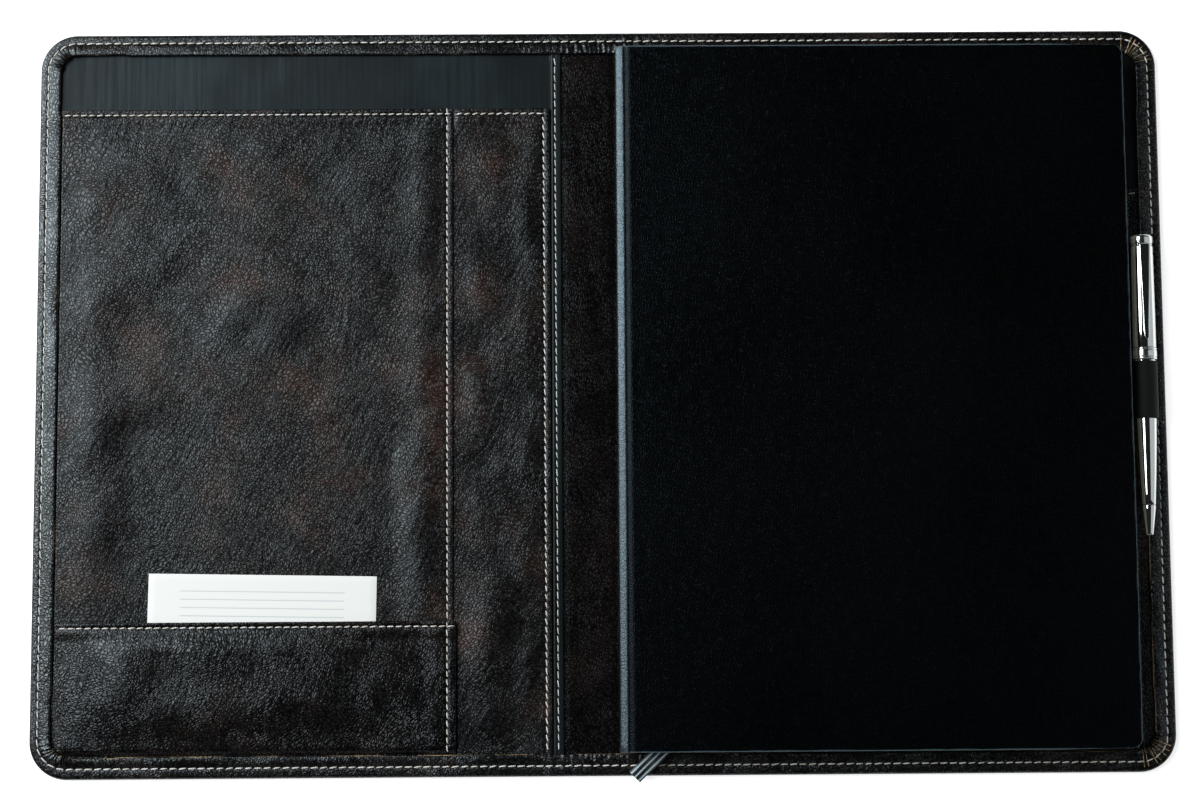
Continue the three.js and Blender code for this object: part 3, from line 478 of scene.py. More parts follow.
def case_half(side):
    """Skin of one half: the outer and inner profiles swept along the cover's edge, flat fields between them,
    and walls that close the cut at the middle of the spine. Where the notebook slides out over the rim, the
    rim is kept down to 5.5 mm, and to 5.68 mm right beside the spine."""
    edge, facing, across = cover_edge(side)
    run = run_along(edge)
    tooth, crease = pleats(edge, facing)
    straight = np.abs(facing[:, 1]) > 0.999
    near_spine = straight * np.exp(-((edge[:, 0] / 18) ** 4))

    def sweep(profile, raised):
        """Each point of the edge, drawn in by the profile's insets along its inward direction, at the
        profile's heights. Where raised is 1, waves, wrinkles, gathers and ridges are added."""
        inset, height = profile[:, 0], profile[:, 1]
        points = np.empty((len(edge), len(profile), 3))
        near_seam = smoothstep(inset, 1.4, 3) * smoothstep(-inset, -8, -5) * raised
        moved = seam_shift(facing)[:, None] * near_seam
        scallop = 1.3 * (tooth - 0.4 * (tooth > 0))[:, None] * smoothstep(inset, 6, 9.5) * raised
        points[..., :2] = edge[:, None] - facing[:, None] * (inset + moved + scallop)[..., None]
        points[..., 2] = height
        on_top = raised * smoothstep(inset, 2.0, 6.5)
        wide = ripple(run[:, None], inset * 2, 26, 11 + side) * 0.1 + 0.1
        fine = ripple(run[:, None], inset * 0.3, 2.6, 21 + side) * (0.045 + 0.17 * near_spine[:, None])
        gather = 0.95 * tooth[:, None] * smoothstep(inset, 2.6, 8.5)
        bars = 0
        for half, place, size in rim_marks:
            ridge = straight * (np.sign(edge[:, 1]) == half) * np.exp(-(((edge[:, 0] - place) / 0.8) ** 2))
            bars = bars + size * ridge[:, None] * smoothstep(inset, 0.5, 3)
        points[..., 2] += on_top * (np.maximum(wide, 0) + fine + gather) + raised * bars
        # The part of the top rim that the notebook slides over is cut off at the limit.
        slid_over = (side > 0) * (edge[:, 1] > 0) * smoothstep(-edge[:, 0], -241, -239)
        limit = np.interp(edge[:, 0], [4, 6.5], [5.68, 5.5])[:, None]
        points[..., 2] -= np.clip(points[..., 2] - limit, 0, None) * slid_over[:, None]
        return points

    on_rim = (outer_profile[:, 1] > 4.3) * 1.0
    outer = sweep(outer_profile, on_rim)
    inner = sweep(inner_profile, (inner_profile[:, 1] > 3.9) * 1.0)
    # The raw edge is worn in patches, more along the foot and most where the hand rests below the pen loop.
    raw = 0.12 + 0.2 * ripple(run, 0 * run, 30, 31 + side) + 0.35 * (edge[:, 1] < -160)
    under_hand = smoothstep(-edge[:, 1], 55, 62) * smoothstep(edge[:, 1], -154, -150)
    raw += 0.7 * (side > 0) * (edge[:, 0] > 250) * under_hand
    raw = np.clip(raw, 0, 1)
    worn = np.zeros(outer.shape[:2])
    worn[:, -3:] = raw[:, None] * (0.35, 0.8, 1.0)
    worn += crease[:, None] * smoothstep(outer_profile[:, 0], 0.8, 2.5) * on_rim
    worn = np.clip(worn, 0, 1)
    patches = [(outer, together(run[:, None], run_along(outer_profile)), worn), (inner, None, None)]
    patches.append((np.stack([outer[:, -1], inner[:, -1]], 1), None, np.stack([worn[:, -1], worn[:, -1]], 1)))
    patches += [(np.stack([outer[end], inner[end]], 0), None, None) for end in (0, -1)]
    rows = np.linspace(1, -1, side_rows)
    walls = []
    for skin in (outer, inner):
        flat = np.repeat(skin[:across, :1], len(rows), 1)
        flat[..., 1] *= rows
        patches.append((flat, None, None))
        walls.append(flat[0])
    patches.append((np.stack(walls, 0), None, None))
    return patches


dark_shades, cover_grain = ("#090706", "#0e0a09", "#150e0c", "#22160f"), (15, 100, 60)
cover_hide = waxed_leather("waxed_cowhide_cover", (0, 0, 0), dark_shades, cover_grain, sheen=0.85, gloss=0.31)
case_front = make_piece("cover_leather_front", case_half(-1), cover_hide)
case_back = make_piece("cover_leather_back", case_half(1), cover_hide)
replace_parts(case_front, "front_leather", "spine_leather")
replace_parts(case_back, "back_leather", "spine_leather")


def over_front_fold(piece, reach=4):
    """Bakes the piece's placement into its mesh; it is not bent over the hinge. reach is not used."""
    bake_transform(piece)


def over_back_fold(piece, reach=4.5, beyond=0.3):
    """Bakes the piece's placement into its mesh; it is not bent over the hinge. reach and beyond are not
    used.
    """
    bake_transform(piece)


over_front_fold(case_front)
over_back_fold(case_back)


# Stitching of the rim: waxed cream linen thread in a lockstitch, 4.2 mm apart, sunk in a shallow groove.
# Each stitch shows about 3 mm of thread, slightly aslant, and its ends go down into the leather.
def linen_thread():
    """Waxed linen thread, two-ply: matt cream with the twist as fine slanted ribs, whose grooves are painted
    darker, a painted shade, and each stitch a little lighter or darker."""
    material, shader, node = new_finish("waxed_linen_thread", 0.6, Sheen_Weight=0.2)
    split = node("SeparateXYZ", {"Vector": node("UVMap", uv_map="surface")})
    slant = node("Math", {0: split.outputs[1], 1: 2 * math.pi}, operation="MULTIPLY")
    ply = node("Math", {0: slant}, operation="SINE")
    tone = node("ValToRGB", {0: split.outputs[0]}, ramp=[(0, "#e2dccf"), (0.5, "#f2eee6"), (1, "#fdfcf8")])
    # Painted shade: the colour is darkened to 0.75 in the grooves between the plies.
    dark = node("MapRange", {0: ply, 1: -1, 2: 1, 3: 0.75, 4: 1})
    feed(shader, Base_Color=node("MixRGB", {0: 1, 1: tone, 2: dark}, blend_type="MULTIPLY"))
    feed(shader, Normal=node("Bump", {"Height": ply, "Distance": 0.05 / 1000}))
    return material


def stitches(line, pitch, seed, radius=0.32, share=0.87, lean=6):
    """Stitches along a line of surface points. Each is a spindle: a ring of radius r(1 - u^4)^(1/2) swept
    over u from -1 to 1 along a shallow arch, turned by lean from the seam. Length, lean and tone vary."""
    run = run_along(line)
    count = max(1, round(run[-1] / pitch))
    middle = (np.arange(count) + 0.5) * run[-1] / count
    reach = pitch * share / 2

    def at(where):
        return np.stack([np.interp(where, run, line[:, k]) for k in range(3)], -1)

    dice = np.random.default_rng(seed)
    along = unit(at(middle + reach) - at(middle - reach))
    side = np.cross((0, 0, 1), along)
    tilt = np.radians(lean + dice.normal(0, 2.5, count))[:, None]
    along, side = along * np.cos(tilt) + side * np.sin(tilt), side * np.cos(tilt) - along * np.sin(tilt)
    u = np.array([-1, -0.93, -0.75, -0.3, 0.3, 0.75, 0.93, 1])
    turn = np.radians(np.linspace(0, 360, 7))
    thick = radius * np.sqrt(np.clip(1 - u**4, 0, 1))
    length = reach * (1 + dice.normal(0, 0.04, count))
    points = at(middle)[:, None, None] + along[:, None, None] * (length[:, None] * u)[:, :, None, None]
    points = points + side[:, None, None] * (thick[:, None] * np.cos(turn))[..., None]
    points[..., 2] += thick[:, None] * np.sin(turn) + (0.12 - 0.42 * u**2)[:, None]
    tone = dice.uniform(0, 1, count)[:, None, None]
    return (points, together(tone, (u * reach / 0.8)[:, None] + turn / (2 * math.pi)), None)


def rim_seam(side):
    """The seam's line on the rim's groove, over one half of the cover."""
    edge, facing, _ = cover_edge(side)
    inset = seam_inset + seam_shift(facing)
    return even_steps(np.column_stack([edge - facing * inset[:, None], np.full(len(edge), seam_height)]), 0.5)


thread = linen_thread()
for side, name, over_fold, seed in ((-1, "front", over_front_fold, 1), (1, "back", over_back_fold, 2)):
    seam = [stitches(rim_seam(side), 4.2, seed)]
    over_fold(make_piece(f"rim_stitching_{name}", seam, thread))


# Spine strip: pebbled leather over the inside of the spine, glued to the stiffener and to both boards,
# so that it bends at the two fold lines, where it dips a little.
def below(upper, thickness):
    """The underside of a sheet: its upper grid moved down along its normals by the thickness."""
    normal = unit(np.cross(np.gradient(upper, axis=0), np.gradient(upper, axis=1)))
    return upper - normal * np.asarray(thickness)[..., None]


def closed_sheet(upper, lower, bulge, square=2.0, steps=4, worn=0.0, flat_at=None):
    """A thin body between two grids of the same shape. Round their border runs a band, whose section is half
    a superellipse of this squareness that stands out by bulge, except along the x of flat_at, where the edge
    is cut square. UV is the place in plan, in millimetres."""
    rows, cols = upper.shape[:2]
    down, over = np.arange(rows), np.arange(cols)
    i = np.concatenate([down, np.full(cols - 1, rows - 1), down[::-1][1:], np.zeros(cols - 1, int)])
    j = np.concatenate([np.zeros(rows, int), over[1:], np.full(rows - 1, cols - 1), over[::-1][1:]])
    out = unit(upper[i, j] - upper[np.clip(i, 1, rows - 2), np.clip(j, 1, cols - 2)])
    turn = np.radians(np.linspace(90, -90, 2 * steps + 1))
    rise = np.sign(np.sin(turn)) * np.abs(np.sin(turn)) ** (2 / square)
    reach = np.abs(np.cos(turn)) ** (2 / square) * bulge
    if flat_at is not None:
        out[np.abs(upper[i, j][:, 0] - flat_at) < 0.01] = 0
    middle, half = (upper[i, j] + lower[i, j]) / 2, (upper[i, j] - lower[i, j]) / 2
    band = middle + rise[:, None, None] * half + reach[:, None, None] * out
    return [(upper, upper[..., :2], None), (lower, lower[..., :2], None), (band, band[..., :2], worn)]


def between(start, end, shares):
    """Rows of x that run from start to end at these shares of the way: start + share (end - start)."""
    return start + shares[:, None] * (end - start)


def field(xs, ys, height):
    """A grid of points over xs and ys; xs may differ from row to row."""
    x, y = np.broadcast_arrays(xs if np.ndim(xs) == 2 else xs[:, None], ys)
    return together(x, y, height(x, y))


def pressed(distance, depth=0.3, width=0.75):
    """The dent that a tight seam makes: depth times a bell curve of the distance."""
    return -depth * np.exp(-((distance / width) ** 2))


strip_shades = ("#060404", "#0a0606", "#0f0908", "#170e0c")
strip_hide = waxed_leather("waxed_cowhide_spine", (90, 30, 10), strip_shades, (82, 96, 12), 0.16)
strip_top = 3.8


def spine_strip(left, right):
    """Strip from left to right: level, with dips along the fold lines and a slight unevenness."""
    xs = grid_lines(left, right, 1.5, (front_hinge, back_hinge), 0.5, 3)

    def height(x, y):
        dips = pressed(x - front_hinge, 0.25, 1.8) + pressed(x - back_hinge, 0.25, 1.6)
        return strip_top + dips + 0.04 * ripple(x, y, 14, 3, 3)

    upper = field(xs, np.linspace(-165, 165, 150), height)
    lower = upper.copy()
    lower[..., 2] -= 0.7
    return closed_sheet(upper, lower, 0.25, flat_at=spine_middle)


strip_front = make_piece("spine_strip_front", spine_strip(-22, spine_middle), strip_hide)
strip_back = make_piece("spine_strip_back", spine_strip(spine_middle, 22.2), strip_hide)
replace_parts(strip_front, "spine_lining_front_edge", "spine_lining")
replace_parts(strip_back, "spine_lining", "spine_lining_back_edge")
over_front_fold(strip_front, 2.5)
over_back_fold(strip_back, 2.5, 2.5)


# Lining: black watered cloth glued over each board under the pockets. Beside the spine it is folded under
# and sewn down on the edge of the spine strip. It shows above the pockets and as a narrow band by the fold.
def watered_cloth():
    """Rayon moire: fine weft ribs 0.35 mm apart, calendered in upright streaks 1 to 4 mm wide, which are
    smoother and shine. Their shine is also painted into the colour as dark blue grey on near black, a painted
    sheen."""
    soft = {"Specular_IOR_Level": 0.25, "Specular_Tint": "#d8eaf2"}
    material, shader, node = new_finish("watered_rayon_lining", 0.5, **soft)
    place = node("TexCoord").outputs["Object"]
    long = node("Mapping", {"Vector": place, "Scale": (1000 / 2.2, 1000 / 70, 1)})
    uneven = {"Vector": long, "Scale": 1, "Detail": 3, "Roughness": 0.75, "Distortion": 0.3}
    streaks = node("TexNoise", uneven)
    wide = node("TexNoise", {"Vector": place, "Scale": 1000 / 45, "Detail": 2})
    both = node("Math", {0: streaks, 1: wide}, operation="MULTIPLY")
    # Painted sheen: the streaks are painted dark blue grey on near black.
    shades = [(0.17, "#070a0b"), (0.25, "#0c1214"), (0.34, "#162024")]
    feed(shader, Base_Color=node("ValToRGB", {0: both}, ramp=shades))
    fine = {"Vector": place, "Scale": 1000 / 0.35 / 20, "Distortion": 0.6}
    ribs = node("TexWave", fine, bands_direction="Y")
    feed(shader, Roughness=node("MapRange", {0: streaks, 1: 0.35, 2: 0.65, 3: 0.5, 4: 0.36}))
    ribbed = node("Bump", {"Height": ribs, "Distance": 0.012 / 1000})
    feed(shader, Normal=node("Bump", {"Height": streaks, "Distance": 0.05 / 1000, "Normal": ribbed}))
    return material


def inset_edge(y, inset):
    """Half width of the cover's outline drawn in by inset, at height y, with its rounded corners."""
    radius = cover_corner - inset
    into_corner = np.clip(np.abs(y) - (cover_y - cover_corner), 0, radius)
    return cover_x - cover_corner + np.sqrt(radius**2 - into_corner**2)


tuck, lining_seam = 5.5, 20.6


def lining(side):
    """Cloth of one half: flat on its board, raised over the spine strip, where its hem is sewn down."""
    ys = np.linspace(-(cover_y - tuck - 0.5), cover_y - tuck - 0.5, 130)
    outer, fold = inset_edge(ys, tuck), (18.1 if side < 0 else 18.0)
    shares = grid_lines(0, 1, 0.012, (0.015,), 0.0018, 0.02)
    strip_end = 22.3

    def height(x, y):
        step = smoothstep(np.abs(x), strip_end + 0.6, strip_end - 0.2)
        sewn = pressed(np.abs(x) - lining_seam, 0.12, 0.5)
        return 3.32 + 0.92 * step + 0.05 * ripple(x, y, 30, 41, 2) + sewn * step

    upper = field(side * between(fold, outer, shares), ys, height)[::side]
    return closed_sheet(upper, below(upper, 0.28), 0.12)


cloth = watered_cloth()
for side, name in ((-1, "front"), (1, "back")):
    piece = make_piece(f"{name}_lining_cloth", lining(side), cloth, f"{name}_cover")
    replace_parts(piece, f"{name}_lining")
lining_line = even_steps(np.array([(-lining_seam, 158.5, 4.25), (-lining_seam + 0.3, -158.5, 4.25)]), 1)
make_piece("lining_stitching", [stitches(lining_line, 3.95, 3, 0.25)], thread, "front_cover")


# Pockets of the front half: waxed leather 0.8 mm thick with a turned and sewn top edge. The narrow pocket
# lies beside the fold, the large one laps over it, and the card pocket is sewn across the foot.
pocket_shades = ("#0c0a0a", "#130e0d", "#20150f", "#3d271e")
pocket_hide = waxed_leather("waxed_cowhide_pockets", (260, 130, 40), pocket_shades, sheen=0.5)
card_shades = ("#080606", "#0c0909", "#130d0b", "#20140f")
card_hide = waxed_leather("waxed_cowhide_card_pocket", (30, 330, 10), card_shades, (35, 100, -20), 0.5, 0.27)
pocket_top, card_top, seam_drop = 134.5, -100.2, 2.4
pocket_line, card_line = pocket_top - seam_drop, card_top - seam_drop
side_right, large_right = -23.0, -67.5
large_seam, side_seam = -70.2, -25.9


def hump(x, y, middle, size):
    """A soft bulge 1 high: exp(-(distance / size)^2), with its own size along X and along Y."""
    return np.exp(-(((x - middle[0]) / size[0]) ** 2) - ((y - middle[1]) / size[1]) ** 2)


def side_pocket():
    """Narrow pocket: a little full in the middle, pressed along its seams, thicker along the turned top."""
    xs = grid_lines(-75.4, side_right - 0.4, 1.6, (side_seam,), 0.4, 1.8)
    ys = grid_lines(-164, pocket_top - 0.4, 2.2, (pocket_line,), 0.4, 2.2)

    def height(x, y):
        inside = smoothstep(x, -66, -55) * smoothstep(side_seam - x, 1, 9) * smoothstep(y, -158, -140)
        # Waves between the seams, and a bulge low beside the lap of the large pocket.
        waves = 0.4 + 0.2 * ripple(x, y, 42, 51) + 0.06 * ripple(x, y, 20, 52)
        full = inside * smoothstep(pocket_top - y, 3, 22) * waves + 1.2 * hump(x, y, (-51, -103), (9, 26))
        seen = smoothstep(x, -67, -65)
        seams = pressed(x - side_seam) + pressed(y - pocket_line) * smoothstep(side_seam + 1 - x, 0, 1) * seen
        hem = 0.75 * smoothstep(y, pocket_top - 9, pocket_top - 5)
        folded = 0.5 * smoothstep(x, side_seam - 18, side_seam - 3)
        return 4.2 + full + seams + np.maximum(hem, folded) * seen

    upper = field(xs, ys, height)
    thick = 0.8 + 0.6 * smoothstep(upper[..., 2], 4.5, 5.0)
    return closed_sheet(upper, below(upper, np.minimum(thick, upper[..., 2] - 3.45)), 0.4)


def large_pocket():
    """Large pocket: its left edge goes under the rim, its foot under the card pocket, and its right edge is
    folded and laps over the narrow pocket. The leather stands off the lining in slow waves, except where the
    card slides over it."""
    ys = grid_lines(-156, pocket_top - 0.4, 2.0, (pocket_line, card_top), 0.4, 2.0)
    left = np.where(ys > card_top - 2, inset_edge(ys, 7), inset_edge(ys, 12))
    shares = grid_lines(0, 1, 0.011, (1 - 0.0145, 0.9545, 0.0192), 0.0022, 0.011)

    def height(x, y):
        open_field = smoothstep(x, -246, -228) * smoothstep(large_seam - x, 1, 14)
        open_field = open_field * smoothstep(pocket_top - y, 3, 24)
        under_card = smoothstep(x, -226, -211) * smoothstep(-x, 87, 97) * smoothstep(-y, 0, 17)
        # Slow waves over the open field, a bulge beside the lap, one beside the rim, a rise along the rim.
        waves = 0.6 + 0.24 * ripple(x, y, 60, 61) + 0.09 * ripple(x, y, 27, 62)
        full = open_field * smoothstep(y, -82, -48) * (1 - under_card) * waves
        full += hump(x, y, (-84, -78), (8, 26)) + 0.45 * hump(x, y, (-231, -45), (9, 70))
        beside_rim = smoothstep(x, -247.6, -246.7) * smoothstep(-x, 211, 236)
        full += 0.6 * beside_rim * smoothstep(pocket_top - y, 1, 6)
        lap = 0.95 * smoothstep(x, -93, -75.6)
        seen = smoothstep(x, -248, -246)
        hem = 0.7 * smoothstep(y, pocket_top - 9, pocket_top - 5) * seen
        seams = pressed(x - large_seam, 0.22) + pressed(y - pocket_line) * seen
        return 4.2 + np.clip(full, 0, 2.2) + np.maximum(lap, hem) + seams

    upper = field(between(-left, large_right - 0.4, shares), ys, height)
    return closed_sheet(upper, below(upper, 0.78), 0.4)


def card_pocket():
    """Card pocket: pressed down under the rim at its left end and foot, sewn at its right end, and standing a
    little proud of the card, with its top edge turned."""
    ys = grid_lines(-163, card_top - 0.4, 1.6, (card_line, -159.5), 0.4, 2.0)
    left = inset_edge(ys, 7)
    shares = grid_lines(0, 1, 0.011, (1 - 0.027, 0.02), 0.0022, 0.014)

    def height(x, y):
        from_side, from_foot = x + inset_edge(y, rim_width), y + cover_y - rim_width
        from_edge = np.minimum(from_side, from_foot)
        raised = 0.5 * smoothstep(from_side, 0, 0.8) + 0.85 * smoothstep(from_side, 0.8, 13)
        raised *= smoothstep(from_foot, 0.1, 3)
        # Its left half stands fuller, clear of the rim, up to the turned top edge.
        puffed = smoothstep(from_side, 1, 36) * smoothstep(-x, 84, 150) * smoothstep(from_foot, 0, 26)
        raised += 1.9 * puffed * smoothstep(card_top - y, 2, 12)
        lap = 0.45 * smoothstep(x, -80.5, -76.5)
        middle = smoothstep(x, -240, -215) * smoothstep(-x, 72, 95) * smoothstep(y, -156, -140)
        full = middle * smoothstep(card_top - y, 3, 14) * (0.35 + 0.2 * ripple(x, y, 46, 71))
        hem = 0.6 * smoothstep(y, card_top - 8, card_top - 4.5) * smoothstep(from_edge, 0.3, 2)
        seams = (pressed(x - large_seam, 0.3) + pressed(y - card_line)) * smoothstep(from_edge, 0.3, 2)
        return 4.25 + raised + lap + np.clip(full, 0, 1) + hem + seams

    upper = field(between(-left, large_right + 0.9, shares), ys, height)
    return closed_sheet(upper, below(upper, 0.75), 0.4)


def surface_line(patches, points, lift=0.02):
    """A seam's line laid on a pocket: each point of the line takes the height of the nearest grid point."""
    upper = patches[0][0].reshape(-1, 3)
    line = even_steps(np.asarray(points, float), 0.8)
    near = np.array([np.argmin(((upper[:, :2] - place) ** 2).sum(1)) for place in line])
    return np.column_stack([line, upper[near, 2] + lift])


side_skin, large_skin, card_skin = side_pocket(), large_pocket(), card_pocket()
for name, skin, hide in (
    ("side_pocket", side_skin, pocket_hide),
    ("document_pocket", large_skin, pocket_hide),
    ("card_pocket", card_skin, card_hide),
):
    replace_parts(make_piece(f"{name}_leather", skin, hide, "front_cover"), name)
turn = np.radians(np.linspace(90, 0, 7))
bend = np.stack([side_seam - 2 + 2 * np.cos(turn), pocket_top - 4.4 + 2 * np.sin(turn)], 1)
side_run = np.concatenate([[(-66.5, pocket_line)], bend, [(side_seam + 0.5, -158.5)]])
pocket_seams = [stitches(surface_line(side_skin, side_run), 3.7, 4, lean=14)]
for skin, start, end, pitch, seed in (
    (large_skin, (-246.5, pocket_line), (large_right - 0.6, pocket_line), 3.75, 5),
    (large_skin, (large_seam, pocket_top + 0.5), (large_seam, card_top + 0.6), 3.8, 6),
    (card_skin, (large_seam, card_top), (large_seam, -158.8), 3.8, 7),
    (card_skin, (-245, card_line), (-66.6, card_line), 3.9, 8),
):
    pocket_seams.append(stitches(surface_line(skin, [start, end]), pitch, seed))
make_piece("pocket_stitching", pocket_seams, thread, "front_cover")


# Card: a plain white note card with ruled lines, cut from smooth offset board 0.4 mm thick. It stands
# loose and a little askew in the card pocket.
def ruled_card():
    """Smooth white card, matt, with four pale grey ruled lines."""
    material, shader, node = new_finish("ruled_white_card", 0.75)
    split = node("SeparateXYZ", {"Vector": node("UVMap", uv_map="surface")})
    across, up = split.outputs[:2]
    after_start = node("MapRange", {0: across, 1: 14, 2: 15})
    before_end = node("MapRange", {0: across, 1: 88, 2: 89, 3: 1, 4: 0})
    below_head = node("MapRange", {0: up, 1: 66.4, 2: 66})
    shifted = node("Math", {0: up, 1: 1.3}, operation="ADD")
    teeth = node("Math", {0: shifted, 1: 1.85}, operation="PINGPONG")
    ink = node("MapRange", {0: teeth, 1: 0.3, 2: 0.14})
    for mask in (after_start, before_end, below_head):
        ink = node("Math", {0: ink, 1: mask}, operation="MULTIPLY")
    feed(shader, Base_Color=node("MixRGB", {0: ink, 1: "#f7f7f5", 2: "#d3d8da"}))
    fibre = node("TexNoise", {"Vector": node("TexCoord").outputs["Object"], "Scale": 1000 / 0.5})
    feed(shader, Normal=node("Bump", {"Height": fibre, "Distance": 0.01 / 1000}))
    return material


card_low, card_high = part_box("note_card")
card_middle = (np.array(card_low[:2]) + np.array(card_high[:2])) * 500
card_turn, card_face = math.radians(-1.1), 4.68
card_grid = field(np.linspace(-51.3, 51.3, 30), np.linspace(-36.3, 36.3, 24), lambda x, y: card_face)
card_patches = closed_sheet(card_grid, below(card_grid, 0.36), 0.12)
card_patches = [(points, points[..., :2] + (51.5, 36.5), worn) for points, _, worn in card_patches]
swing = np.array([[math.cos(card_turn), -math.sin(card_turn)], [math.sin(card_turn), math.cos(card_turn)]])
for points, _, _ in card_patches:
    points[..., :2] = points[..., :2] @ swing.T + card_middle
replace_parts(make_piece("ruled_note_card", card_patches, ruled_card(), "card"), "note_card")


# Sleeve of the back half: one sheet of the pocket leather that holds the notebook's back cover. Its foot and
# outer side are sewn in under the rim and step down there; its top edge is turned and sewn.
sleeve_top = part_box("notebook_sleeve")[1].y * 1000
sleeve_line = sleeve_top - 2.9


def sleeve():
    """Sheet over the notebook's back cover: level at 9.2 mm, sloping to the flange at the side and dropping
    steeply at the foot."""
    step_down, flange_run = np.linspace(238.4, 242.6, 9), np.linspace(243.2, 250.5, 8)
    xs = np.concatenate([grid_lines(40.4, 237.8, 4), step_down, flange_run])
    foot = [[-164, -161.5, -160.2, -159.9, -159.75], np.linspace(-159.55, -158.5, 5)]
    ys = np.concatenate([*foot, grid_lines(-156, sleeve_top - 0.4, 3, (sleeve_line,), 0.5, 2)])
    flange, level = 4.2, 9.15
    slope = np.interp(xs, [238.3, 242.6], [1, 0])
    rise = np.interp(ys, [-159.75, -159.2], [0, 1])
    x = np.minimum(xs[:, None], inset_edge(ys, 7) - (xs[-1] - xs)[:, None] * 0.05)
    height = flange + (level - flange) * smoothstep(slope, 0, 1)[:, None] * rise
    height += 0.04 * ripple(x, ys, 30, 81) + pressed(ys - sleeve_line, 0.15) * slope[:, None]
    upper = together(x, ys, height)
    return closed_sheet(upper, below(upper, 0.7), 0.35)


sleeve_skin = sleeve()
sleeve_piece = make_piece("notebook_sleeve_leather", sleeve_skin, pocket_hide, "back_cover")
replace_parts(sleeve_piece, "notebook_sleeve")
sleeve_seam = surface_line(sleeve_skin, [(42, sleeve_line), (246.6, sleeve_line)])
make_piece("sleeve_stitching", [stitches(sleeve_seam, 3.9, 9)], thread, "back_cover")


# Notebook case: black imitation leather over binder's board, turned in round the edges. The spine is a round
# ridge, and the cloth sinks into a groove beside each board, where the cover hinges.
def book_cloth(name, sheen, dull):
    """Imitation leather: a cast black coating on cloth with a fine calf grain about 1 mm wide, blue grey
    where it catches the light. Where the worn attribute is set, on the upper shoulder of a board's edge, it
    is painted blue grey, a painted highlight."""
    material, shader, node = new_finish(name, dull, Specular_IOR_Level=sheen, Specular_Tint="#c6dfee")
    place = node("TexCoord").outputs["Object"]
    warp = node("TexNoise", {"Vector": place, "Scale": 1000 / 6, "Detail": 1})
    bent = node("VectorMath", {0: warp.outputs["Color"], 1: (0.0012, 0.0012, 0.0012)}, operation="MULTIPLY")
    warped = node("VectorMath", {0: place, 1: bent}, operation="ADD")
    grain = node("TexVoronoi", {"Vector": warped, "Scale": 1000 / 1.1}, feature="DISTANCE_TO_EDGE")
    soft = node("MapRange", {0: grain, 1: 0, 2: 0.25})
    cloudy = node("TexNoise", {"Vector": place, "Scale": 1000 / 90, "Detail": 3})
    tone = node("ValToRGB", {0: cloudy}, ramp=[(0.3, "#010202"), (0.7, "#030405")])
    # Painted highlight: blue grey is mixed in where the worn attribute marks the boards' upper edge
    # shoulders.
    painted_edge_highlight = node("Attribute", attribute_name="worn").outputs["Fac"]
    feed(shader, Base_Color=node("MixRGB", {0: painted_edge_highlight, 1: tone, 2: "#4d6069"}))
    feed(shader, Roughness=node("MapRange", {0: cloudy, 1: 0.3, 2: 0.7, 3: dull - 0.03, 4: dull + 0.03}))
    feed(shader, Normal=node("Bump", {"Height": soft, "Distance": 0.06 / 1000}))
    return material


board_corner, board_bulge = 5, 0.55
back_low, front_high, board_thick, cloth_web = 5.6, 21.7, 2.2, 1.75


def board_shape(outer_face, flip):
    """One cover: a board with rounded edges and corners, thinning over the groove to a web of cloth. flip is
    1 for the front cover, whose outer face is up, and -1 for the back one."""
    flat_right = book_right - board_bulge
    groove, rounded = np.linspace(10.6, 15.2, 19), np.linspace(book_right - 6.5, flat_right, 12)
    xs = np.concatenate([groove, grid_lines(16.5, book_right - 8, 5), rounded])
    fine_at = (book_bottom + 3, book_top - 3)
    ys = grid_lines(book_bottom + board_bulge, book_top - board_bulge, 4, fine_at, 0.7, 2.8)
    radius = board_corner - board_bulge
    near = np.clip(np.maximum(ys - (book_top - board_corner), (book_bottom + board_corner) - ys), 0, radius)
    right = book_right - board_corner + np.sqrt(radius**2 - near**2)
    x = xs[:, None] - smoothstep(xs, book_right - 40, flat_right)[:, None] * (flat_right - right)
    lift = np.interp(xs, [11.2, 11.9, 12.9, 13.8], [0, 0.35, 0.85, 1])[:, None]
    bow = 0.05 * ripple(x, ys, 160, 91) * smoothstep(xs, 20, 60)[:, None] * (flip > 0)
    outer = outer_face - flip * 0.9 * (1 - lift) + flip * bow
    inner = outer_face - flip * (board_thick * lift + cloth_web * (1 - lift))
    upper, lower = (outer, inner)[::flip]
    # Painted highlight: the upper shoulder of the rounded edge is marked for blue grey paint.
    painted_edge_highlight = np.interp(np.arange(13), [0, 1, 4, 6], [0.3, 1, 0.6, 0])[:, None]
    return closed_sheet(together(x, ys, upper), together(x, ys, lower), board_bulge, 2.6, 6, painted_edge_highlight)


def carried(line, ys):
    """A line in X and Z carried along Y."""
    return together(line[:, :1], ys, line[:, 1:])


def spine_shell():
    """The spine: its outer line runs from the upper groove over the ridge, down the back and under to the
    lower groove, carried along the book's height, with the wall set inwards from it."""
    ridge = [(11.25, 0.95), (11.1, 0.8), (10.95, 0.45), (10.8, 0.2), (10.5, 0.17), (9.8, 0.33), (9.0, 0.6)]
    ridge += [(8.2, 0.95), (7.6, 1.3), (7.2, 1.75), (7.04, 2.4), (7.0, 3.3), (7.0, 5.5)]
    outline = [(x, front_high - down) for x, down in ridge] + [(7.0, (front_high + back_low) / 2)]
    outline += [(x, back_low + up) for x, up in ridge[::-1]]
    line = smooth_path(outline, 0.35)
    ys = grid_lines(book_bottom + 0.4, book_top - 0.4, 3)
    along = unit(np.gradient(line, axis=0))
    wall = np.interp(line[:, :1], [7.0, 8.6, 10.4], [1.7, 1.1, 0.45])
    inner = line + np.stack([-along[:, 1], along[:, 0]], 1) * wall
    return closed_sheet(carried(line, ys), carried(inner, ys), 0.4)


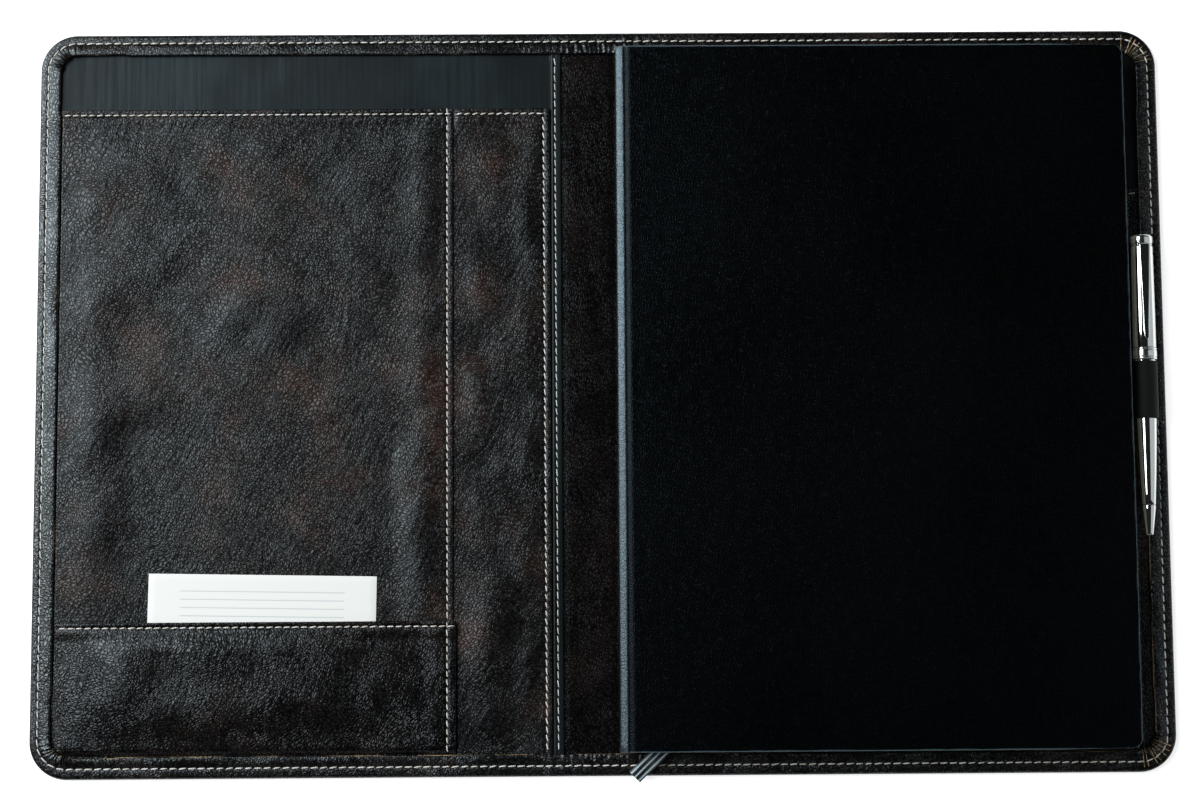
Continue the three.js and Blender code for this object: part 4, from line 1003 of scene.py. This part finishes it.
book_black = book_cloth("black_imitation_leather", 0.11, 0.27)
spine_black = book_cloth("black_imitation_leather_rubbed", 1.0, 0.32)
front_case = make_piece("notebook_front_cover", board_shape(front_high, 1), book_black)
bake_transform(front_case)
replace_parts(front_case, "notebook_front_board")
back_case = make_piece("notebook_back_cover", board_shape(back_low, -1), book_black, "notebook")
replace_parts(back_case, "notebook_back_board")
spine_piece = make_piece("notebook_spine_cloth", spine_shell(), spine_black, "notebook")
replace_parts(spine_piece, "notebook_spine")


# Leaves, endpapers and headbands: cream writing paper, sewn, trimmed and glued along the back. They are
# rigid blocks here and stay the CAD solids.
def trimmed_leaves():
    """A block of trimmed paper: plain cream on its faces, and its cut edges drawn with the leaves, shown as
    lines about 0.3 mm apart, coarser than the real 0.1 mm."""
    material, shader, node = new_finish("cream_book_paper", 0.85)
    coords = node("TexCoord")
    thin = node("Mapping", {"Vector": coords.outputs["Object"], "Scale": (1000 / 60, 1000 / 60, 1000 / 0.3)})
    leaves = node("TexNoise", {"Vector": thin, "Scale": 1, "Detail": 2})
    edges = node("ValToRGB", {0: leaves}, ramp=[(0.36, "#c9c0a9"), (0.6, "#efe9da")])
    fibres = node("TexNoise", {"Vector": coords.outputs["Object"], "Scale": 1000 / 1.5, "Detail": 3})
    face = node("ValToRGB", {0: fibres}, ramp=[(0.3, "#ebe5d6"), (0.7, "#f0eadc")])
    facing = node("SeparateXYZ", {"Vector": coords.outputs["Normal"]})
    upward = node("Math", {0: facing.outputs[2]}, operation="ABSOLUTE")
    flat = node("MapRange", {0: upward, 1: 0.6, 2: 0.8})
    feed(shader, Base_Color=node("MixRGB", {0: flat, 1: edges, 2: face}))
    feed(shader, Normal=node("Bump", {"Height": fibres, "Distance": 0.01 / 1000}))
    return material


def endpaper():
    """Smooth black endpaper, matt, with the faint cloudiness of uncoated stock."""
    material, shader, node = new_finish("black_endpaper", 0.8)
    place = node("TexCoord").outputs["Object"]
    cloud = node("TexNoise", {"Vector": place, "Scale": 1000 / 4, "Detail": 4})
    feed(shader, Base_Color=node("ValToRGB", {0: cloud}, ramp=[(0.35, "#17191c"), (0.65, "#1f2226")]))
    return material


def band_cloth():
    """Headband: silk wrapped round a core, dark and pale by turns every 1.1 mm through the thickness."""
    material, shader, node = new_finish("striped_headband_silk", 0.5, Sheen_Weight=0.2)
    height = node("SeparateXYZ", {"Vector": node("TexCoord").outputs["Object"]}).outputs[2]
    waves = node("Math", {0: height, 1: 2 * math.pi * 1000 / 1.1}, operation="MULTIPLY")
    wave = node("Math", {0: waves}, operation="SINE")
    feed(shader, Base_Color=node("ValToRGB", {0: wave}, ramp=[(0.3, "#23292e"), (0.5, "#c7cdd0")]))
    feed(shader, Normal=node("Bump", {"Height": wave, "Distance": 0.04 / 1000}))
    return material


dress(trimmed_leaves(), "page_block", "front_pages")
dress(endpaper(), "back_endpaper", "front_endpaper")
dress(band_cloth(), "headband", "tailband")


# Pen: a twist pen of chromed brass. A domed crown holds the clip's ring, a centre ring joins the barrels,
# and the lower barrel tapers to a cone at the tip.
def polished_chrome(name, wear):
    """Chrome plate on turned brass: mirror bright, with slight fingerprints as smears of higher roughness."""
    material, shader, node = new_finish(name, 0.08, Metallic=1.0, Base_Color="#d9dcdc")
    place = node("TexCoord").outputs["Object"]
    smear = node("TexNoise", {"Vector": place, "Scale": 1000 / 7, "Detail": 4})
    feed(shader, Roughness=node("MapRange", {0: smear, 1: 0.4, 2: 0.75, 3: wear * 0.5, 4: wear}))
    return material


pen_x, pen_z, clip_reach = 246.0, 11.9, 5.5
pen_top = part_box("pen_crown")[1].y * 1000


def turned(profile, count=72):
    """A body turned on the pen's axis: pairs of radius and distance below the crown, swept round a circle.
    A corner is kept sharp by two rings close together."""
    radius, down = profile[:, :1], profile[:, 1:]
    turn = np.linspace(0, 2 * math.pi, count + 1)
    skin = together(pen_x + radius * np.cos(turn), pen_top - down, pen_z + radius * np.sin(turn))
    return (skin, None, None)


def eased(profile, radius=0.12):
    """The same profile with each corner replaced by three points: a radius before it, a radius after it,
    and one between them, drawn in from the corner."""
    profile = np.asarray(profile, float)
    here = profile[1:-1]
    ways = np.stack([profile[:-2] - here, profile[2:] - here])
    reach = np.minimum(radius, np.linalg.norm(ways, axis=-1, keepdims=True) * 0.4)
    back, on = unit(ways) * reach
    soft = np.stack([here + back, here + 0.3 * (back + on), here + on], 1).reshape(-1, 2)
    return np.concatenate([profile[:1], soft, profile[-1:]])


chrome, satin_chrome = polished_chrome("chrome_plate", 0.12), polished_chrome("satin_chrome_plate", 0.34)
crown = [(0, 4.3), (5.15, 4.3), (5.15, 1.6), (5.0, 1.0), (4.6, 0.5), (3.6, 0.2), (2.2, 0.07), (0, 0)]
washer = [(0, 5.2), (5.0, 5.2), (5.0, 4.45), (0, 4.45)]
upper_barrel = [(0, 5.35), (5.0, 5.35), (5.25, 5.9), (5.32, 12), (5.5, 38), (5.5, 51.9), (4.3, 51.9)]
upper_barrel += [(4.3, 8), (0, 8)]
ring = [(4.3, 52), (5.45, 52), (5.75, 52.3), (5.75, 52.8), (5.45, 52.95), (5.45, 53.05), (5.72, 53.2)]
ring += [(5.72, 56.1), (5.45, 56.25), (5.45, 56.35), (5.75, 56.5), (5.75, 57.0), (5.45, 57.3), (4.3, 57.3)]
lower_barrel = [(4.3, 57.4), (5.0, 57.4), (5.0, 66), (4.93, 76), (4.75, 84), (4.4, 96), (3.95, 108)]
lower_barrel += [(3.45, 118), (3.2, 123), (2.2, 123), (2.2, 75), (4.3, 73)]
cone = [(2.2, 123.1), (3.0, 123.1), (3.2, 123.35), (3.1, 125), (2.65, 129), (2.2, 132.5), (1.95, 134.6)]
cone += [(1.8, 136.1), (1.62, 136.5), (1.32, 136.5), (1.32, 130), (2.2, 128)]
for open_ended in (ring, lower_barrel, cone):
    open_ended.append(open_ended[0])
for name, profile, plate, body in (
    ("pen_crown", crown, satin_chrome, "pen"),
    ("pen_upper_barrel", upper_barrel, chrome, "pen"),
    ("pen_centre_ring", ring, satin_chrome, "pen"),
    ("pen_lower_barrel", lower_barrel, chrome, "pen_lower"),
    ("pen_tip_cone", cone, chrome, "pen_lower"),
):
    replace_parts(make_piece(f"{name}_chrome", [turned(eased(profile))], plate, body), name)


def clip_arm():
    """Clip: a spring arm from the ring under the crown, given as distance below the crown, height over the
    barrel, width and thickness. Its section is a gently domed top on upright sides, its width narrows to the
    tip, and the tip is a bead that rests on the barrel and turns up at its end."""
    stations = [(4.5, -2.2, 5.2, 2.2), (4.6, -1.2, 5.2, 2.4), (5.2, 0.2, 5.2, 2.0), (6.2, 1.0, 5.1, 1.3)]
    stations += [(8, 1.25, 4.9, 1.0), (14, 1.2, 4.5, 0.9), (22, 1.1, 4.0, 0.9), (30, 0.85, 3.4, 0.9)]
    stations += [(36, 0.55, 2.9, 0.9), (40.5, 0.25, 2.6, 0.95), (43.2, 0.05, 2.5, 1.15)]
    stations += [(45.4, 0.1, 2.4, 1.2), (47, 0.35, 2.2, 1.0), (47.9, 0.75, 1.6, 0.6), (48.2, 1.05, 0.6, 0.2)]
    line = smooth_path(stations, 0.5)
    half = np.array([(1, 0), (1, 0.7), (0.96, 0.88), (0.86, 0.96), (0.6, 0.985), (0.3, 0.996), (0, 1)])
    shape = np.concatenate([half, half[-2::-1] * (-1, 1), [(0, 0), (1, 0)]])
    down, lift, width, thick = np.concatenate([line[:1], line, line[-1:]]).T[..., None]
    size = np.ones_like(down)
    size[[0, -1]] = 0
    high = pen_z + clip_reach + lift + thick * (shape[:, 1] * size + (1 - size) / 2)
    return (together(pen_x + width / 2 * shape[:, 0] * size, pen_top - down, high), None, None)


clip = make_piece("pen_clip_chrome", [turned(eased(washer)), clip_arm()], chrome, "pen")
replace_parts(clip, "pen_clip")


def turned_brass():
    """Bare turned brass: satin, with fine lathe rings every 0.2 mm."""
    material, shader, node = new_finish("turned_brass", 0.3, Metallic=1.0, Base_Color="#b08d4a")
    place = node("TexCoord").outputs["Object"]
    rings = node("TexWave", {"Vector": place, "Scale": 1000 / 0.2 / 20}, bands_direction="Y")
    feed(shader, Normal=node("Bump", {"Height": rings, "Distance": 0.01 / 1000}))
    return material


def refill_tube():
    """Moulded polypropylene ink tube, milky."""
    material, shader, node = new_finish("milky_polypropylene", 0.35, Subsurface_Weight=0.2)
    cloud = node("TexNoise", {"Vector": node("TexCoord").outputs["Object"], "Scale": 1000 / 9})
    feed(shader, Base_Color=node("ValToRGB", {0: cloud}, ramp=[(0.3, "#bfc5c8"), (0.7, "#d3d7d9")]))
    return material


dress(turned_brass(), "pen_mechanism", "refill_point")
dress(refill_tube(), "refill_tube")


# Pen loop: a band of black woven elastic 26 mm wide, with rubber cores. It is wrapped once round the pen,
# and both its ends are sewn in under the rim.
def woven_elastic():
    """Woven elastic: rubber cores wrapped in polyester, seen as ribs round the pen every 0.9 mm with a fine
    weave between them, black and quite matt."""
    material, shader, node = new_finish("black_woven_elastic", 0.7, Specular_IOR_Level=0.25)
    place = node("UVMap", uv_map="surface")
    ribs = {"Vector": place, "Scale": 1, "Mortar Size": 0.09, "Brick Width": 0.9, "Row Height": 0.45}
    weave = node("TexBrick", {**ribs, "Color1": "#0d0f11", "Color2": "#08090b", "Mortar": "#030304"})
    feed(shader, Base_Color=weave)
    threads = node("TexNoise", {"Vector": place, "Scale": 4, "Detail": 2})
    ribbed = node("Bump", {"Height": weave.outputs["Fac"], "Distance": -0.06 / 1000})
    feed(shader, Normal=node("Bump", {"Height": threads, "Distance": 0.05 / 1000, "Normal": ribbed}))
    return material


def elastic_loop():
    """The band's line in section: in under the rim, up beside the rim's edge and once round the pen, then
    down beside itself; the band is that line carried along the pen for 26 mm."""
    turn = np.radians(np.linspace(-78, 258, 40))
    round_pen = [(pen_x + 5.5 * math.cos(a), pen_z + 5.5 * math.sin(a)) for a in turn]
    rising, falling = [(252.6, 3.8), (249, 3.8), (247.6, 4.1), (246.95, 5.2)], [(245.75, 5.2), (245.7, 3.9)]
    line = smooth_path(rising + round_pen + falling, 0.5)
    low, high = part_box("pen_loop")
    ys = np.linspace(low.y * 1000 - 0.2, high.y * 1000 - 1, 27)
    along = unit(np.gradient(line, axis=0))
    outward = np.stack([along[:, 1], -along[:, 0]], 1) * 0.33
    uv = together(np.arange(len(line))[:, None] * 0.5, ys)
    patches = closed_sheet(carried(line + outward, ys), carried(line - outward, ys), 0.4)
    return [(patches[0][0], uv, None), (patches[1][0], uv, None), patches[2]]


loop_piece = make_piece("pen_loop_elastic", elastic_loop(), woven_elastic(), "back_cover")
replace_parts(loop_piece, "pen_loop")


# Bead: the end of the grey polyester thread that sews the loop's lower corner. It is cut hot, which melts
# it into a small bead, so that the seam can't run back.
def thread_end():
    """A bead, rings of radius 0.65 sin t carried along its axis, and a thread 0.4 mm thick leading to it."""
    turn = np.linspace(0, 2 * math.pi, 17)
    t = np.linspace(0, math.pi, 13)
    along, wide = -np.cos(t)[:, None], np.sin(t)[:, None]
    globe = together(along, wide * np.cos(turn), wide * np.sin(turn))
    bead = globe * (0.65, 0.65, 0.6) + (255.3, -12.6, 5.45)
    route = [(252.0, -10.9, 4.9), (252.8, -11.4, 5.3), (253.8, -11.8, 5.3), (254.9, -12.4, 5.4)]
    line = smooth_path(route, 0.3)
    size = 0.2 * np.sqrt(np.clip(1 - np.linspace(-1, 1, len(line)) ** 8, 0, 1))
    strand = line[:, None] + size[:, None, None] * together(0, np.cos(turn), np.sin(turn))
    return [(bead, (0.1, 0), None), (strand, (0.1, 0), None)]


grey_thread, shader, node = new_finish("melted_polyester_thread", 0.35, Base_Color="#7f868a", Coat_Weight=0.3)
cloud = node("TexNoise", {"Vector": node("TexCoord").outputs["Object"], "Scale": 1000 / 0.3})
feed(shader, Normal=node("Bump", {"Height": cloud, "Distance": 0.03 / 1000}))
make_piece("pen_loop_thread_end", thread_end(), grey_thread, "back_cover")
